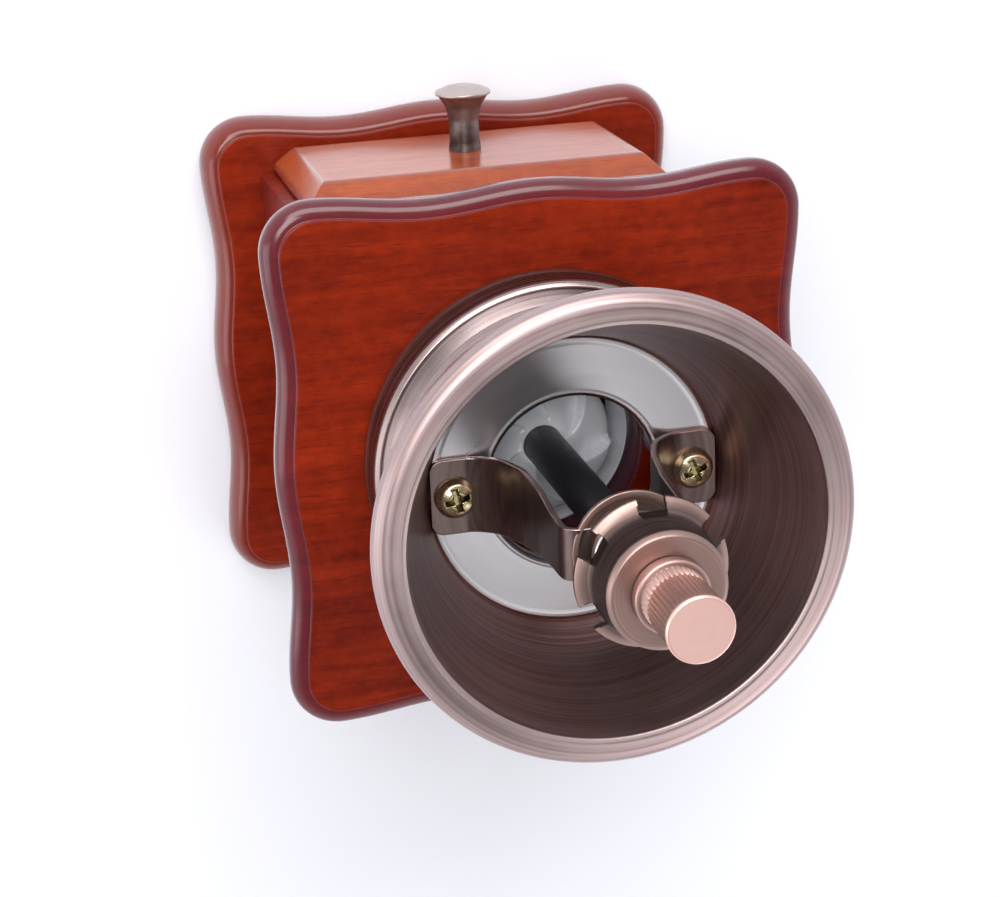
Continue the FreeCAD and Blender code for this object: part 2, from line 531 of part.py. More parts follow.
# ---------------------------------------------------------------------- burrs

burr = spun("burr_blank", [
    (SHAFT_BORE, "Sizes.BurrLow"), ("Sizes.BurrFoot", "Sizes.BurrLow"),
    ("Sizes.BurrFoot", "Sizes.BurrLow + 2"), ("Sizes.BurrWaist", "Sizes.BurrHigh - 7"),
    ("Sizes.BurrWaist", "Sizes.BurrHigh - 1.5"), ("Sizes.BurrWaist - 1.5", "Sizes.BurrHigh - 0.6"),
    ("7", "Sizes.BurrHigh"), (SHAFT_BORE, "Sizes.BurrHigh")], finished=False)


def flute(index):
    """A slanted V groove that feeds beans down between the burrs."""
    deep = 3.2
    corners = [V(0, -1.8, 0), V(0, 1.8, 0), V(-deep, 0, 0), V(0, -1.8, 0)]
    groove = Part.Face(Part.makePolygon(corners)).extrude(V(0, 0, 24))
    groove.translate(V(size("BurrFoot") + 0.4, 0, -12))
    groove.rotate(V(), V(1, 0, 0), 32)
    groove.translate(V(0, 0, size("BurrHigh") - 7))
    groove.rotate(V(), UP, 360 / size("FluteCount") * index)
    return groove


flutes = Part.makeCompound([flute(index) for index in range(int(size("FluteCount")))])
flute_tool = computed("burr_flutes", flutes)
slot = board("burr_pin_slot", ("-Sizes.PinLong / 2 - 0.2", "Sizes.PinLong / 2 + 0.2",
                               "-Sizes.PinRadius - 0.1", "Sizes.PinRadius + 0.1",
                               "Sizes.BurrLow - 1", "Sizes.PinAt + Sizes.PinRadius + 0.1"))
fluted = doc.addObject("Part::Cut", "burr_fluted")
fluted.Base = burr
fluted.Tool = flute_tool
keep(drilled("inner_burr", fluted, [slot]), "inner_burr")

spun("outer_burr", [
    ("Sizes.RingFoot", "Sizes.RingLow"), ("Sizes.RingOuter", "Sizes.RingLow"),
    ("Sizes.RingOuter", "Sizes.RingHigh"), ("Sizes.RingOuter - Sizes.RingLip", "Sizes.RingHigh"),
    ("Sizes.RingWaist", "(Sizes.RingLow + Sizes.RingHigh) / 2")])

FLANGE_FACE = f"{BOX_TOP} - Sizes.HousingFlangeThick"
housing_tube = "Sizes.RingOuter + Sizes.HousingWall"
housing = spun("burr_housing_blank", [
    ("Sizes.RingOuter - Sizes.RingLip", "Sizes.RingLow - 1"), (housing_tube, "Sizes.RingLow - 1"),
    (housing_tube, FLANGE_FACE), ("Sizes.HousingFlange", FLANGE_FACE), ("Sizes.HousingFlange", BOX_TOP),
    ("Sizes.RingOuter", BOX_TOP), ("Sizes.RingOuter", "Sizes.RingLow"),
    ("Sizes.RingOuter - Sizes.RingLip", "Sizes.RingLow")], finished=False)
housing_tools = []
for sign in (-1, 1):
    housing_tools.append(rod(f"housing_bridge_hole_{sign + 1}", MACHINE_HOLE,
                             "Sizes.HousingFlangeThick + 2", (f"{sign} * Sizes.BridgeScrewAt", "0",
                                                             f"{FLANGE_FACE} - 1")))
    housing_tools.append(rod(f"housing_bracket_hole_{sign + 1}", WOOD_HOLE,
                             "Sizes.HousingFlangeThick + 2", ("0", f"{sign} * Sizes.BracketScrewAt",
                                                             f"{FLANGE_FACE} - 1")))
keep(drilled("burr_housing", housing, housing_tools), "burr_housing")


def bracket_shape():
    """A U-shaped strap under the burrs, its feet against the housing flange."""
    thick = size("BracketSheet")
    foot = size("BaseThick") + size("BoxHigh") - size("HousingFlangeThick") - thick / 2
    low = size("BracketLow") + thick / 2
    half = [(32.0, foot), (25.6, foot), (25.0, foot - 1.5), (25.0, low + 1.5), (23.5, low)]
    path = [V(-x, 0, z) for x, z in half] + [V(x, 0, z) for x, z in reversed(half)]
    strap = ribbon(path, thick, size("BracketWide"))
    strap.rotate(V(), UP, 90)
    holes = [Part.makeCylinder(size("BushRadius"), 6, V(0, 0, low - 3))]
    for sign in (-1, 1):
        holes.append(Part.makeCylinder(size("WoodScrewRadius") + size("HoleGap"), 6,
                                       V(0, sign * size("BracketScrewAt"), foot - 3)))
    return strap.cut(Part.makeCompound(holes))


keep(computed("lower_bracket", bracket_shape()), "lower_bracket")

screw_long = []
for number, sign in enumerate((-1, 1)):
    seat = f"{FLANGE_FACE} - Sizes.BracketSheet"
    place = ("0", f"{sign} * Sizes.BracketScrewAt", f"{seat} - Sizes.BracketScrewHeadHigh")
    head = rod(f"bracket_screw_head_{number}", "Sizes.BracketScrewHead", "Sizes.BracketScrewHeadHigh", place)
    shank = rod(f"bracket_screw_shank_{number}", "Sizes.WoodScrewRadius", "Sizes.BracketScrewLong", place)
    screw_long.append(joined(f"bracket_screw_{number}", [head, shank]))
group = doc.addObject("Part::Compound", "bracket_screws")
group.Links = screw_long
keep(group, "bracket_screws")

spun("lower_bush", [
    (SHAFT_BORE, "Sizes.SpringHigh"), ("Sizes.BushRadius", "Sizes.SpringHigh"),
    ("Sizes.BushRadius", "Sizes.BracketLow + Sizes.BracketSheet"),
    ("Sizes.BushFlange", "Sizes.BracketLow + Sizes.BracketSheet"),
    ("Sizes.BushFlange", "Sizes.BracketLow + Sizes.BracketSheet + 1"),
    (SHAFT_BORE, "Sizes.BracketLow + Sizes.BracketSheet + 1")])


def hex_nut(label, low, thick):
    """A hexagonal nut on the shaft."""
    nut = doc.addObject("Part::Prism", label + "_blank")
    nut.Polygon = 6
    nut.setExpression("Circumradius", "Sizes.HexRadius")
    nut.setExpression("Height", thick)
    nut.setExpression("Placement.Base.z", low)
    bore = rod(label + "_bore", SHAFT_BORE, thick, ("0", "0", low))
    return keep(drilled(label, nut, [bore]), label)


hex_nut("burr_nut", "Sizes.BurrLow - Sizes.BurrNutThick", "Sizes.BurrNutThick")
spun("spring_collar", [
    (SHAFT_BORE, "Sizes.SpringLow - Sizes.SeatThick"),
    ("Sizes.SeatRadius", "Sizes.SpringLow - Sizes.SeatThick"),
    ("Sizes.SeatRadius", "Sizes.SpringLow"), (SHAFT_BORE, "Sizes.SpringLow")])
hex_nut("lock_nut", "Sizes.SpringLow - Sizes.SeatThick - 0.1 - Sizes.LockNutThick", "Sizes.LockNutThick")


def spring_shape():
    """An open compression spring: a round wire swept along a helix."""
    wire = size("SpringWire")
    high = size("SpringHigh") - size("SpringLow") - 2 * wire
    helix = Part.makeHelix(high / size("SpringTurns"), high, size("SpringMean"))
    circle = Part.Wire(Part.makeCircle(wire, V(size("SpringMean"), 0, 0), V(0, 1, 0)))
    return Part.Wire(helix.Edges).makePipeShell([circle], True, True)


keep(computed("burr_spring", spring_shape(), size("SpringLow") + size("SpringWire")), "burr_spring")

# --------------------------------------------------------------------- export

doc.recompute()
for item in doc.Objects:
    if "Invalid" in item.State or "Error" in item.State:
        raise RuntimeError(f"{item.Name} failed: {item.State}")
for piece in pieces:
    if piece.Shape.isNull() or not piece.Shape.isValid() or not piece.Shape.Solids:
        raise RuntimeError(f"{piece.Label} has no valid solid")

os.makedirs("parts", exist_ok=True)
for piece in pieces:
    piece.Shape.exportStep(f"parts/{piece.Label}.step")
    box = piece.Shape.BoundBox
    print(f"{piece.Label:18s} {len(piece.Shape.Solids)} solids {piece.Shape.Volume:10.1f} mm3  "
          f"x {box.XMin:.1f} {box.XMax:.1f}  y {box.YMin:.1f} {box.YMax:.1f}  z {box.ZMin:.1f} {box.ZMax:.1f}")
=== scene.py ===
"""Looks for the manual burr coffee grinder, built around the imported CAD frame.

Metres, +Z up, origin under the base plate on the shaft's axis; the drawer opens towards -Y.
"""
import math

import bpy
from mathutils import Matrix, Vector


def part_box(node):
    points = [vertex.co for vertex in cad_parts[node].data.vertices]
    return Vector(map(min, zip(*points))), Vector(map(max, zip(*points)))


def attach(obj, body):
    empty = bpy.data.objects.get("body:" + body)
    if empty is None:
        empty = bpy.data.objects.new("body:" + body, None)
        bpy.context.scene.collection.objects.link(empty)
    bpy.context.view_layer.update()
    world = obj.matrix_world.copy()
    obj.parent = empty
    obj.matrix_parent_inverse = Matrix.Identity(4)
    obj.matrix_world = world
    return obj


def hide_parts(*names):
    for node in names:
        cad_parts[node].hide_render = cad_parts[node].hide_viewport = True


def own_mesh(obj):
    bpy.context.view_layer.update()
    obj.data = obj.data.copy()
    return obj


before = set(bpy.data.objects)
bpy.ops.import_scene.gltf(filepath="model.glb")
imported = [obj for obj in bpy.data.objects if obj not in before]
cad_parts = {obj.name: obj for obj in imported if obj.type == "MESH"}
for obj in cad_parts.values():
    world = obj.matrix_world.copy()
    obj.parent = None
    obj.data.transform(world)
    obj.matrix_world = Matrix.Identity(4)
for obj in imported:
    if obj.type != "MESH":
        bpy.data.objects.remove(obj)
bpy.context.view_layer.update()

MM = 0.001
SEGMENTS = 192
SMALL_SEGMENTS = 96
FILLET_STEPS = 6

scene = bpy.context.scene
scene.view_settings.view_transform = "Standard"
scene.view_settings.look = "None"


def low(node):
    """Lowest corner of a CAD node in millimetres."""
    return [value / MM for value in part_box(node)[0]]


def high(node):
    """Highest corner of a CAD node in millimetres."""
    return [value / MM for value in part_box(node)[1]]


# Sizes that several pieces share, in millimetres.
TOP_FACE = high("top_plate")[2]
FEET_LEVEL = TOP_FACE + 20.0
THROAT_RADIUS = 20.0
SHAFT_BORE_RADIUS = 4.31
BRIDGE_SHEET = 1.3

# ------------------------------------------------------------------ materials


class Nodes:
    """Short names for building one material's node tree."""

    def __init__(self, name):
        self.material = bpy.data.materials.new(name)
        self.material.use_nodes = True
        self.tree = self.material.node_tree
        self.shader = self.tree.nodes["Principled BSDF"]

    def add(self, kind, **settings):
        """A node with its properties and its input values set; a socket as a value is linked."""
        node = self.tree.nodes.new(kind)
        for key, value in settings.items():
            if key.startswith("in_"):
                name = key[3:]
                socket = node.inputs[int(name)] if name.isdigit() else node.inputs[name.replace("_", " ")]
                self.feed(socket, value)
            else:
                setattr(node, key, value)
        return node

    def feed(self, socket, value):
        """Link a socket to an input, or set the input's value."""
        if isinstance(value, bpy.types.NodeSocket):
            self.tree.links.new(value, socket)
        else:
            socket.default_value = value

    def maths(self, operation, *values):
        """A Math node's output for one to three values or sockets."""
        node = self.tree.nodes.new("ShaderNodeMath")
        node.operation = operation
        for socket, value in zip(node.inputs, values):
            self.feed(socket, value)
        return node.outputs[0]

    def place(self):
        """Position on the piece, in metres."""
        return self.add("ShaderNodeTexCoord").outputs["Object"]

    def stretched(self, scale, source=None):
        """Position scaled by a different factor along each axis."""
        return self.add("ShaderNodeVectorMath", operation="MULTIPLY", in_0=source or self.place(),
                        in_1=scale).outputs[0]

    def noise(self, vector, scale, detail=2.0, roughness=0.5, distortion=0.0):
        """A noise value from 0 to 1."""
        return self.add("ShaderNodeTexNoise", in_Vector=vector, in_Scale=scale, in_Detail=detail,
                        in_Roughness=roughness, in_Distortion=distortion).outputs[0]

    def spread(self, value, low_in, high_in, low_out=0.0, high_out=1.0):
        """A value moved from one range to another, clamped."""
        return self.add("ShaderNodeMapRange", in_Value=value, in_From_Min=low_in, in_From_Max=high_in,
                        in_To_Min=low_out, in_To_Max=high_out).outputs[0]

    def mixed(self, factor, first, second):
        """Two colours mixed by a factor."""
        node = self.tree.nodes.new("ShaderNodeMix")
        node.data_type = "RGBA"
        self.feed(node.inputs["Factor"], factor)
        for socket, value in ((node.inputs[6], first), (node.inputs[7], second)):
            self.feed(socket, value if isinstance(value, bpy.types.NodeSocket) else (*value, 1.0))
        return node.outputs[2]

    def bump(self, height, strength, distance):
        """Bump from a height value, fed to the shader's normal."""
        node = self.add("ShaderNodeBump", in_Height=height, in_Strength=strength, in_Distance=distance)
        self.tree.links.new(node.outputs[0], self.shader.inputs["Normal"])

    def set(self, **values):
        """Set or link the shader's own inputs."""
        for key, value in values.items():
            socket = self.shader.inputs[key.replace("_", " ")]
            if isinstance(value, tuple) and len(value) == 3 and socket.type == "RGBA":
                value = (*value, 1.0)
            self.feed(socket, value)

    def tone(self):
        """The tone painted on the mesh: low in recesses and on shaded bands, high on edges, lips and crests;
        it carries patina and wear and also painted shade, highlights and reflections.
        """
        return self.add("ShaderNodeAttribute", attribute_name="tone").outputs["Fac"]


def lacquered_wood(name, grain, deep, warm, edge_reflection, coat=0.04):
    """Stained, lacquered hardwood; grain is the stretch of the noise along X, Y and Z; the edge colour is a
    painted reflection and shade, mixed in on the round edges where the tone is high.
    """
    nodes = Nodes(name)
    streaks = nodes.noise(nodes.stretched(grain), 1.0, detail=5.0, roughness=0.55, distortion=0.5)
    pore_place = nodes.stretched(tuple(value * 9.0 for value in grain))
    pores = nodes.noise(pore_place, 1.0, detail=3.0, roughness=0.65)
    mottle = nodes.noise(nodes.stretched((300.0, 420.0, 420.0)), 1.0, detail=4.0, roughness=0.6)
    clouds = nodes.noise(nodes.place(), 22.0, detail=2.0)
    figure = nodes.maths("ADD", nodes.maths("MULTIPLY", streaks, 0.55), nodes.maths("MULTIPLY", clouds, 0.5))
    figure = nodes.maths("ADD", figure, nodes.maths("MULTIPLY", mottle, 0.45))
    stain = nodes.mixed(nodes.spread(figure, 0.52, 0.98), deep, warm)
    fleck = nodes.spread(pores, 0.56, 0.74, 0.0, 0.55)
    stain = nodes.mixed(fleck, stain, tuple(value * 0.4 for value in deep))
    # painted reflection and shade: where the tone is high, on the round edges, the stain turns to the edge
    # colour
    stain = nodes.mixed(nodes.maths("MULTIPLY", nodes.tone(), 0.85), stain, edge_reflection)
    nodes.set(Base_Color=stain, Roughness=nodes.spread(pores, 0.3, 0.8, 0.34, 0.48))
    shine = nodes.maths("ADD", nodes.maths("MULTIPLY", nodes.tone(), 0.9), coat)
    nodes.set(Coat_Weight=shine, Coat_Roughness=0.17, Coat_IOR=1.6, Specular_IOR_Level=0.12)
    ripple = nodes.noise(nodes.place(), 90.0, detail=1.0)
    height = nodes.maths("ADD", nodes.maths("MULTIPLY", pores, 0.5), nodes.maths("MULTIPLY", ripple, 0.8))
    nodes.bump(height, 0.16, 0.0004)
    return nodes.material


def raw_wood(name, grain, deep, warm):
    """Plain sealed wood for the drawer's inner boards and the dowels."""
    nodes = Nodes(name)
    streaks = nodes.noise(nodes.stretched(grain), 1.0, detail=6.0, roughness=0.6, distortion=0.3)
    nodes.set(Base_Color=nodes.mixed(nodes.spread(streaks, 0.3, 0.75), deep, warm),
              Roughness=nodes.spread(streaks, 0.3, 0.8, 0.5, 0.68))
    nodes.bump(streaks, 0.25, 0.0004)
    return nodes.material


def spun_metal(name, dark, light, rough, anisotropic=0.0, rings=1500.0, patina=0.6, matt=0.45, relief=0.12):
    """Plated sheet brushed in rings about Z; the painted tone sets the colour: low is dark and partly matt,
    patina in hollows and also painted shade; high is light, painted highlights on lips, crests and edges.
    """
    nodes = Nodes(name)
    split = nodes.add("ShaderNodeSeparateXYZ", in_0=nodes.place())
    across = nodes.maths("POWER", split.outputs[0], 2.0)
    along = nodes.maths("POWER", split.outputs[1], 2.0)
    radius = nodes.maths("SQRT", nodes.maths("ADD", across, along))
    ring_place = nodes.add("ShaderNodeCombineXYZ", in_0=nodes.maths("MULTIPLY", radius, rings),
                           in_1=nodes.maths("MULTIPLY", split.outputs[2], rings),
                           in_2=nodes.maths("MULTIPLY", split.outputs[0], 14.0)).outputs[0]
    lines = nodes.noise(ring_place, 1.0, detail=3.0, roughness=0.6)
    broad = nodes.noise(nodes.stretched((0.12, 0.12, 1.0), ring_place), 1.0, detail=2.0)
    blotch = nodes.noise(nodes.place(), 60.0, detail=4.0, roughness=0.6)
    tone = nodes.tone()
    for wear, weight in ((broad, 0.6), (lines, 1.8), (blotch, 0.5)):
        centred = nodes.maths("SUBTRACT", wear, 0.5)
        tone = nodes.maths("ADD", tone, nodes.maths("MULTIPLY", centred, patina * weight))
    # painted shade and highlight together with patina: the tone mixes the dark and light colours
    nodes.set(Base_Color=nodes.mixed(nodes.spread(tone, 0.0, 1.0), dark, light),
              Metallic=nodes.spread(tone, 0.1, 0.8, 1.0 - matt, 1.0),
              Roughness=nodes.spread(nodes.maths("ADD", lines, blotch), 0.6, 1.4, *rough),
              Anisotropic=anisotropic)
    if anisotropic:
        nodes.set(Tangent=nodes.add("ShaderNodeTangent", direction_type="RADIAL", axis="Z").outputs[0])
    nodes.bump(lines, relief, 0.00006)
    return nodes.material


def cast_metal(name, colour, rough, metallic=1.0, grit=900.0, depth=0.15, wear_and_reflection=None):
    """Solid metal with fine grit; the second colour goes where the tone is high: rubbed wear, and on the
    knob's head also a painted reflection.
    """
    nodes = Nodes(name)
    speck = nodes.noise(nodes.place(), grit, detail=4.0, roughness=0.65)
    cloud = nodes.noise(nodes.place(), grit * 0.12, detail=3.0)
    wear_and_reflection_mask = nodes.maths("ADD", cloud, nodes.maths("MULTIPLY", nodes.tone(), 0.8))
    wear_and_reflection = wear_and_reflection or tuple(min(1.0, value * 1.5) for value in colour)
    nodes.set(Base_Color=nodes.mixed(nodes.spread(wear_and_reflection_mask, 0.35, 1.1), colour, wear_and_reflection), Metallic=metallic,
              Roughness=nodes.spread(speck, 0.3, 0.7, rough * 0.8, min(1.0, rough * 1.25)))
    nodes.bump(speck, depth, 0.00005)
    return nodes.material


def glazed_ceramic(name):
    """White glazed ceramic with faint grey mottling."""
    nodes = Nodes(name)
    mottle = nodes.noise(nodes.place(), 120.0, detail=3.0)
    nodes.set(Base_Color=nodes.mixed(mottle, (0.84, 0.85, 0.92), (0.93, 0.94, 0.98)),
              Roughness=nodes.spread(mottle, 0.3, 0.7, 0.10, 0.2), Coat_Weight=0.5, Coat_Roughness=0.05)
    nodes.bump(mottle, 0.05, 0.0002)
    return nodes.material


GRAIN_X = (14.0, 260.0, 260.0)
GRAIN_Y = (260.0, 14.0, 260.0)
GRAIN_Z = (260.0, 260.0, 14.0)
MAHOGANY = (0.094, 0.0045, 0.0013)
CHERRY = (0.280, 0.0215, 0.0034)
# The plum and red edge colours are painted reflection and shade on the round edges of the lacquered plates
# and boards.
EDGE_REFLECTION_PLUM = (0.082, 0.008, 0.022)
EDGE_REFLECTION_RED = (0.165, 0.017, 0.009)
ORANGE = (0.46, 0.088, 0.014)
DEEP_ORANGE = (0.27, 0.034, 0.007)
# Painted reflection and shade on the drawer front's round edges.
EDGE_REFLECTION_ORANGE = (0.22, 0.04, 0.014)
SEALED_DARK = (0.36, 0.19, 0.08)
SEALED_LIGHT = (0.58, 0.36, 0.18)

WOOD_BASE = lacquered_wood("lacquered_base", GRAIN_X, MAHOGANY, CHERRY, EDGE_REFLECTION_RED)
WOOD_X = lacquered_wood("lacquered_cherry_x", GRAIN_X, MAHOGANY, CHERRY, EDGE_REFLECTION_PLUM)
WOOD_Y = lacquered_wood("lacquered_cherry_y", GRAIN_Y, MAHOGANY, CHERRY, EDGE_REFLECTION_PLUM)
WOOD_FRONT = lacquered_wood("lacquered_drawer_front", GRAIN_X, DEEP_ORANGE, ORANGE, EDGE_REFLECTION_ORANGE, coat=0.95)
INNER_WOOD_Y = raw_wood("sealed_wood_y", GRAIN_Y, SEALED_DARK, SEALED_LIGHT)
INNER_WOOD_X = raw_wood("sealed_wood_x", GRAIN_X, SEALED_DARK, SEALED_LIGHT)
INNER_WOOD_Z = raw_wood("sealed_wood_z", GRAIN_Z, SEALED_DARK, SEALED_LIGHT)
COPPER = spun_metal("antique_copper_spun", (0.028, 0.015, 0.014), (0.56, 0.44, 0.425),
                    rough=(0.20, 0.34), anisotropic=0.55, matt=0.2)
BOWL_COPPER = spun_metal("antique_copper_bowl", (0.150, 0.048, 0.038), (0.48, 0.37, 0.365),
                         rough=(0.32, 0.47), anisotropic=0.55, patina=0.85, matt=0.15)
COPPER_PART = spun_metal("antique_copper_parts", (0.024, 0.013, 0.011), (0.43, 0.285, 0.25),
                         rough=(0.34, 0.48), anisotropic=0.2, rings=2600.0, patina=0.4)
COPPER_NUT = spun_metal("satin_copper_nut", (0.10, 0.045, 0.036), (0.93, 0.60, 0.53),
                        rough=(0.33, 0.44), rings=700.0, patina=0.12, matt=0.2)
COPPER_STRAP = spun_metal("antique_copper_strap", (0.045, 0.025, 0.022), (0.52, 0.39, 0.37),
                          rough=(0.25, 0.36), rings=900.0, patina=0.3, matt=0.1)
STEEL = spun_metal("satin_steel", (0.30, 0.29, 0.31), (0.88, 0.86, 0.88),
                   rough=(0.27, 0.31), rings=2200.0, patina=0.03, matt=0.0, relief=0.02)
BRASS = cast_metal("brass_plated", (0.25, 0.20, 0.08), 0.24, wear_and_reflection=(0.62, 0.54, 0.34))
ZINC = cast_metal("zinc_plated", (0.42, 0.42, 0.43), 0.34)
BLACK = cast_metal("black_oxide", (0.012, 0.012, 0.014), 0.36, metallic=0.0)
IRON = cast_metal("cast_iron_dark", (0.05, 0.05, 0.052), 0.62, metallic=0.6, grit=420.0, depth=0.5)
BRONZE = cast_metal("dark_bronze", (0.040, 0.020, 0.017), 0.36, metallic=0.85, wear_and_reflection=(0.50, 0.43, 0.41))
BUSH = cast_metal("sintered_bronze", (0.42, 0.28, 0.12), 0.45)
CERAMIC = glazed_ceramic("burr_ceramic")

# --------------------------------------------------------------- mesh helpers

BLOCK_FACES = ((3, 2, 1, 0), (4, 5, 6, 7), (0, 1, 5, 4), (1, 2, 6, 5), (2, 3, 7, 6), (3, 0, 4, 7))


def finish_piece(name, verts, faces, tones, material, body, nodes=(), crisp=True):
    """Make the object, paint its tone, and tie it to the frame."""
    mesh = bpy.data.meshes.new(name)
    mesh.from_pydata([tuple(value * MM for value in point) for point in verts], [], faces)
    mesh.validate()
    mesh.polygons.foreach_set("use_smooth", [True] * len(mesh.polygons))
    layer = mesh.attributes.new("tone", "FLOAT", "POINT")
    layer.data.foreach_set("value", tones)
    mesh.materials.append(material)
    mesh.update()
    piece = bpy.data.objects.new(name, mesh)
    scene.collection.objects.link(piece)
    if crisp:
        weighted = piece.modifiers.new("weighted_normals", "WEIGHTED_NORMAL")
        weighted.keep_sharp = True
        weighted.weight = 80
    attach(piece, body)
    if nodes:
        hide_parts(*nodes)
    return piece


def softened(corners):
    """A path through (x, y, radius, tone) corners, each rounded by its radius."""
    path = []
    last = len(corners) - 1
    for index, (x, y, radius, tone) in enumerate(corners):
        if radius == 0 or index in (0, last):
            path.append((x, y, tone))
            continue
        corner = Vector((x, y))
        before = Vector(corners[index - 1][:2]) - corner
        after = Vector(corners[index + 1][:2]) - corner
        half_turn = before.angle(after) / 2
        reach = min(radius / math.tan(half_turn), before.length * 0.49, after.length * 0.49)
        start = corner + before.normalized() * reach
        stop = corner + after.normalized() * reach
        for step in range(FILLET_STEPS + 1):
            part = step / FILLET_STEPS
            point = start * (1 - part) ** 2 + corner * 2 * part * (1 - part) + stop * part ** 2
            path.append((point.x, point.y, tone))
    return path


def turned(path, segments=SEGMENTS, swell=None):
    """Vertices, faces and tones of a path of (radius, height, tone) turned about Z."""
    verts, tones, rings, faces = [], [], [], []
    for radius, height, tone in path:
        if radius < 1e-6:
            rings.append([len(verts)])
            verts.append((0.0, 0.0, height))
            tones.append(tone)
            continue
        ring = []
        for step in range(segments):
            angle = 2 * math.pi * step / segments
            reach = radius + (swell(radius, height, angle) if swell else 0.0)
            ring.append(len(verts))
            verts.append((reach * math.cos(angle), reach * math.sin(angle), height))
            tones.append(tone)
        rings.append(ring)
    for lower, upper in zip(rings, rings[1:]):
        for step in range(segments):
            after = (step + 1) % segments
            if len(lower) == 1:
                faces.append((lower[0], upper[after], upper[step]))
            elif len(upper) == 1:
                faces.append((lower[step], lower[after], upper[0]))
            else:
                faces.append((lower[step], lower[after], upper[after], upper[step]))
    return verts, faces, tones


def lathe(name, corners, material, body, nodes=(), segments=SEGMENTS, closed=False, swell=None):
    """A turned piece from rounded (radius, height, fillet, tone) corners, outside from the bottom up."""
    path = softened(corners)
    if closed:
        path.append(path[0])
    verts, faces, tones = turned(path, segments, swell)
    if closed:
        total = len(verts) - segments
        faces = [tuple(index - total if index >= total else index for index in face) for face in faces]
        verts, tones = verts[:total], tones[:total]
    return finish_piece(name, verts, faces, tones, material, body, nodes)


def stacked(outlines, holes=None):
    """Faces between outlines of equal length, capped at both ends, or joined to hole rings."""
    verts, tones, faces = [], [], []
    count = len(outlines[0][0])
    loops = list(outlines) + (list(reversed(holes)) if holes else [])
    for points, tone in loops:
        verts.extend(points)
        tones.extend([tone] * count)
    for level in range(len(loops) - 1 + (1 if holes else 0)):
        base = level * count
        above = ((level + 1) % len(loops)) * count
        for step in range(count):
            after = (step + 1) % count
            faces.append((base + step, base + after, above + after, above + step))
    if not holes:
        faces.append(tuple(reversed(range(count))))
        faces.append(tuple(range((len(loops) - 1) * count, len(loops) * count)))
    return verts, faces, tones


def rounded_rectangle(half_wide, half_high, corner):
    """Points of a rectangle with small round corners."""
    steps = 5
    points = []
    for x, y, start in ((1, 1, 0), (-1, 1, 90), (-1, -1, 180), (1, -1, 270)):
        for step in range(steps + 1):
            angle = math.radians(start + 90 * step / steps)
            points.append((x * (half_wide - corner) + corner * math.cos(angle),
                           y * (half_high - corner) + corner * math.sin(angle)))
    return points


def add_block(verts, faces, angle, ends):
    """Add a block turned about Z; its ends are (height, near, far, half width), the lower one first."""
    first = len(verts)
    for height, near, far, half in ends:
        for u, w in ((near, -half), (far, -half), (far, half), (near, half)):
            verts.append((u * math.cos(angle) - w * math.sin(angle),
                          u * math.sin(angle) + w * math.cos(angle), height))
    faces += [tuple(first + index for index in face) for face in BLOCK_FACES]


def carve(piece, verts, faces):
    """Cut a set of closed boxes out of a piece and keep the result as its mesh."""
    mesh = bpy.data.meshes.new("cutter")
    mesh.from_pydata([tuple(value * MM for value in point) for point in verts], [], faces)
    cutter = bpy.data.objects.new("cutter", mesh)
    scene.collection.objects.link(cutter)
    cut = piece.modifiers.new("cut", "BOOLEAN")
    cut.object = cutter
    cut.operation = "DIFFERENCE"
    cut.solver = "EXACT"
    cut.use_self = True
    graph = bpy.context.evaluated_depsgraph_get()
    result = bpy.data.meshes.new_from_object(piece.evaluated_get(graph))
    piece.modifiers.remove(cut)
    piece.data = result
    bpy.data.objects.remove(cutter)


# ------------------------------------------------------------------------ case

PLATE_CORNER = 10.8
PLATE_WAVE = 1.9
EDGE_ROUND = 3.4
EDGE_STEP = 0.5


def wavy_outline(half, inset, height):
    """The plate's waved outline with round corners, moved in by an inset."""
    side_steps, corner_steps = 56, 14
    edge = half - inset
    corner = PLATE_CORNER - inset
    reach = edge - corner
    points = []
    for quarter in range(4):
        turn = Matrix.Rotation(math.pi / 2 * quarter, 2)
        for step in range(side_steps):
            along = step / side_steps
            dip = PLATE_WAVE * (1 - math.cos(4 * math.pi * along)) / 2
            points.append(turn @ Vector((edge - dip, -reach + 2 * reach * along)))
        for step in range(corner_steps):
            angle = math.pi / 2 * step / corner_steps
            points.append(turn @ Vector((reach + corner * math.cos(angle), reach + corner * math.sin(angle))))
    return [(point.x, point.y, height) for point in points]


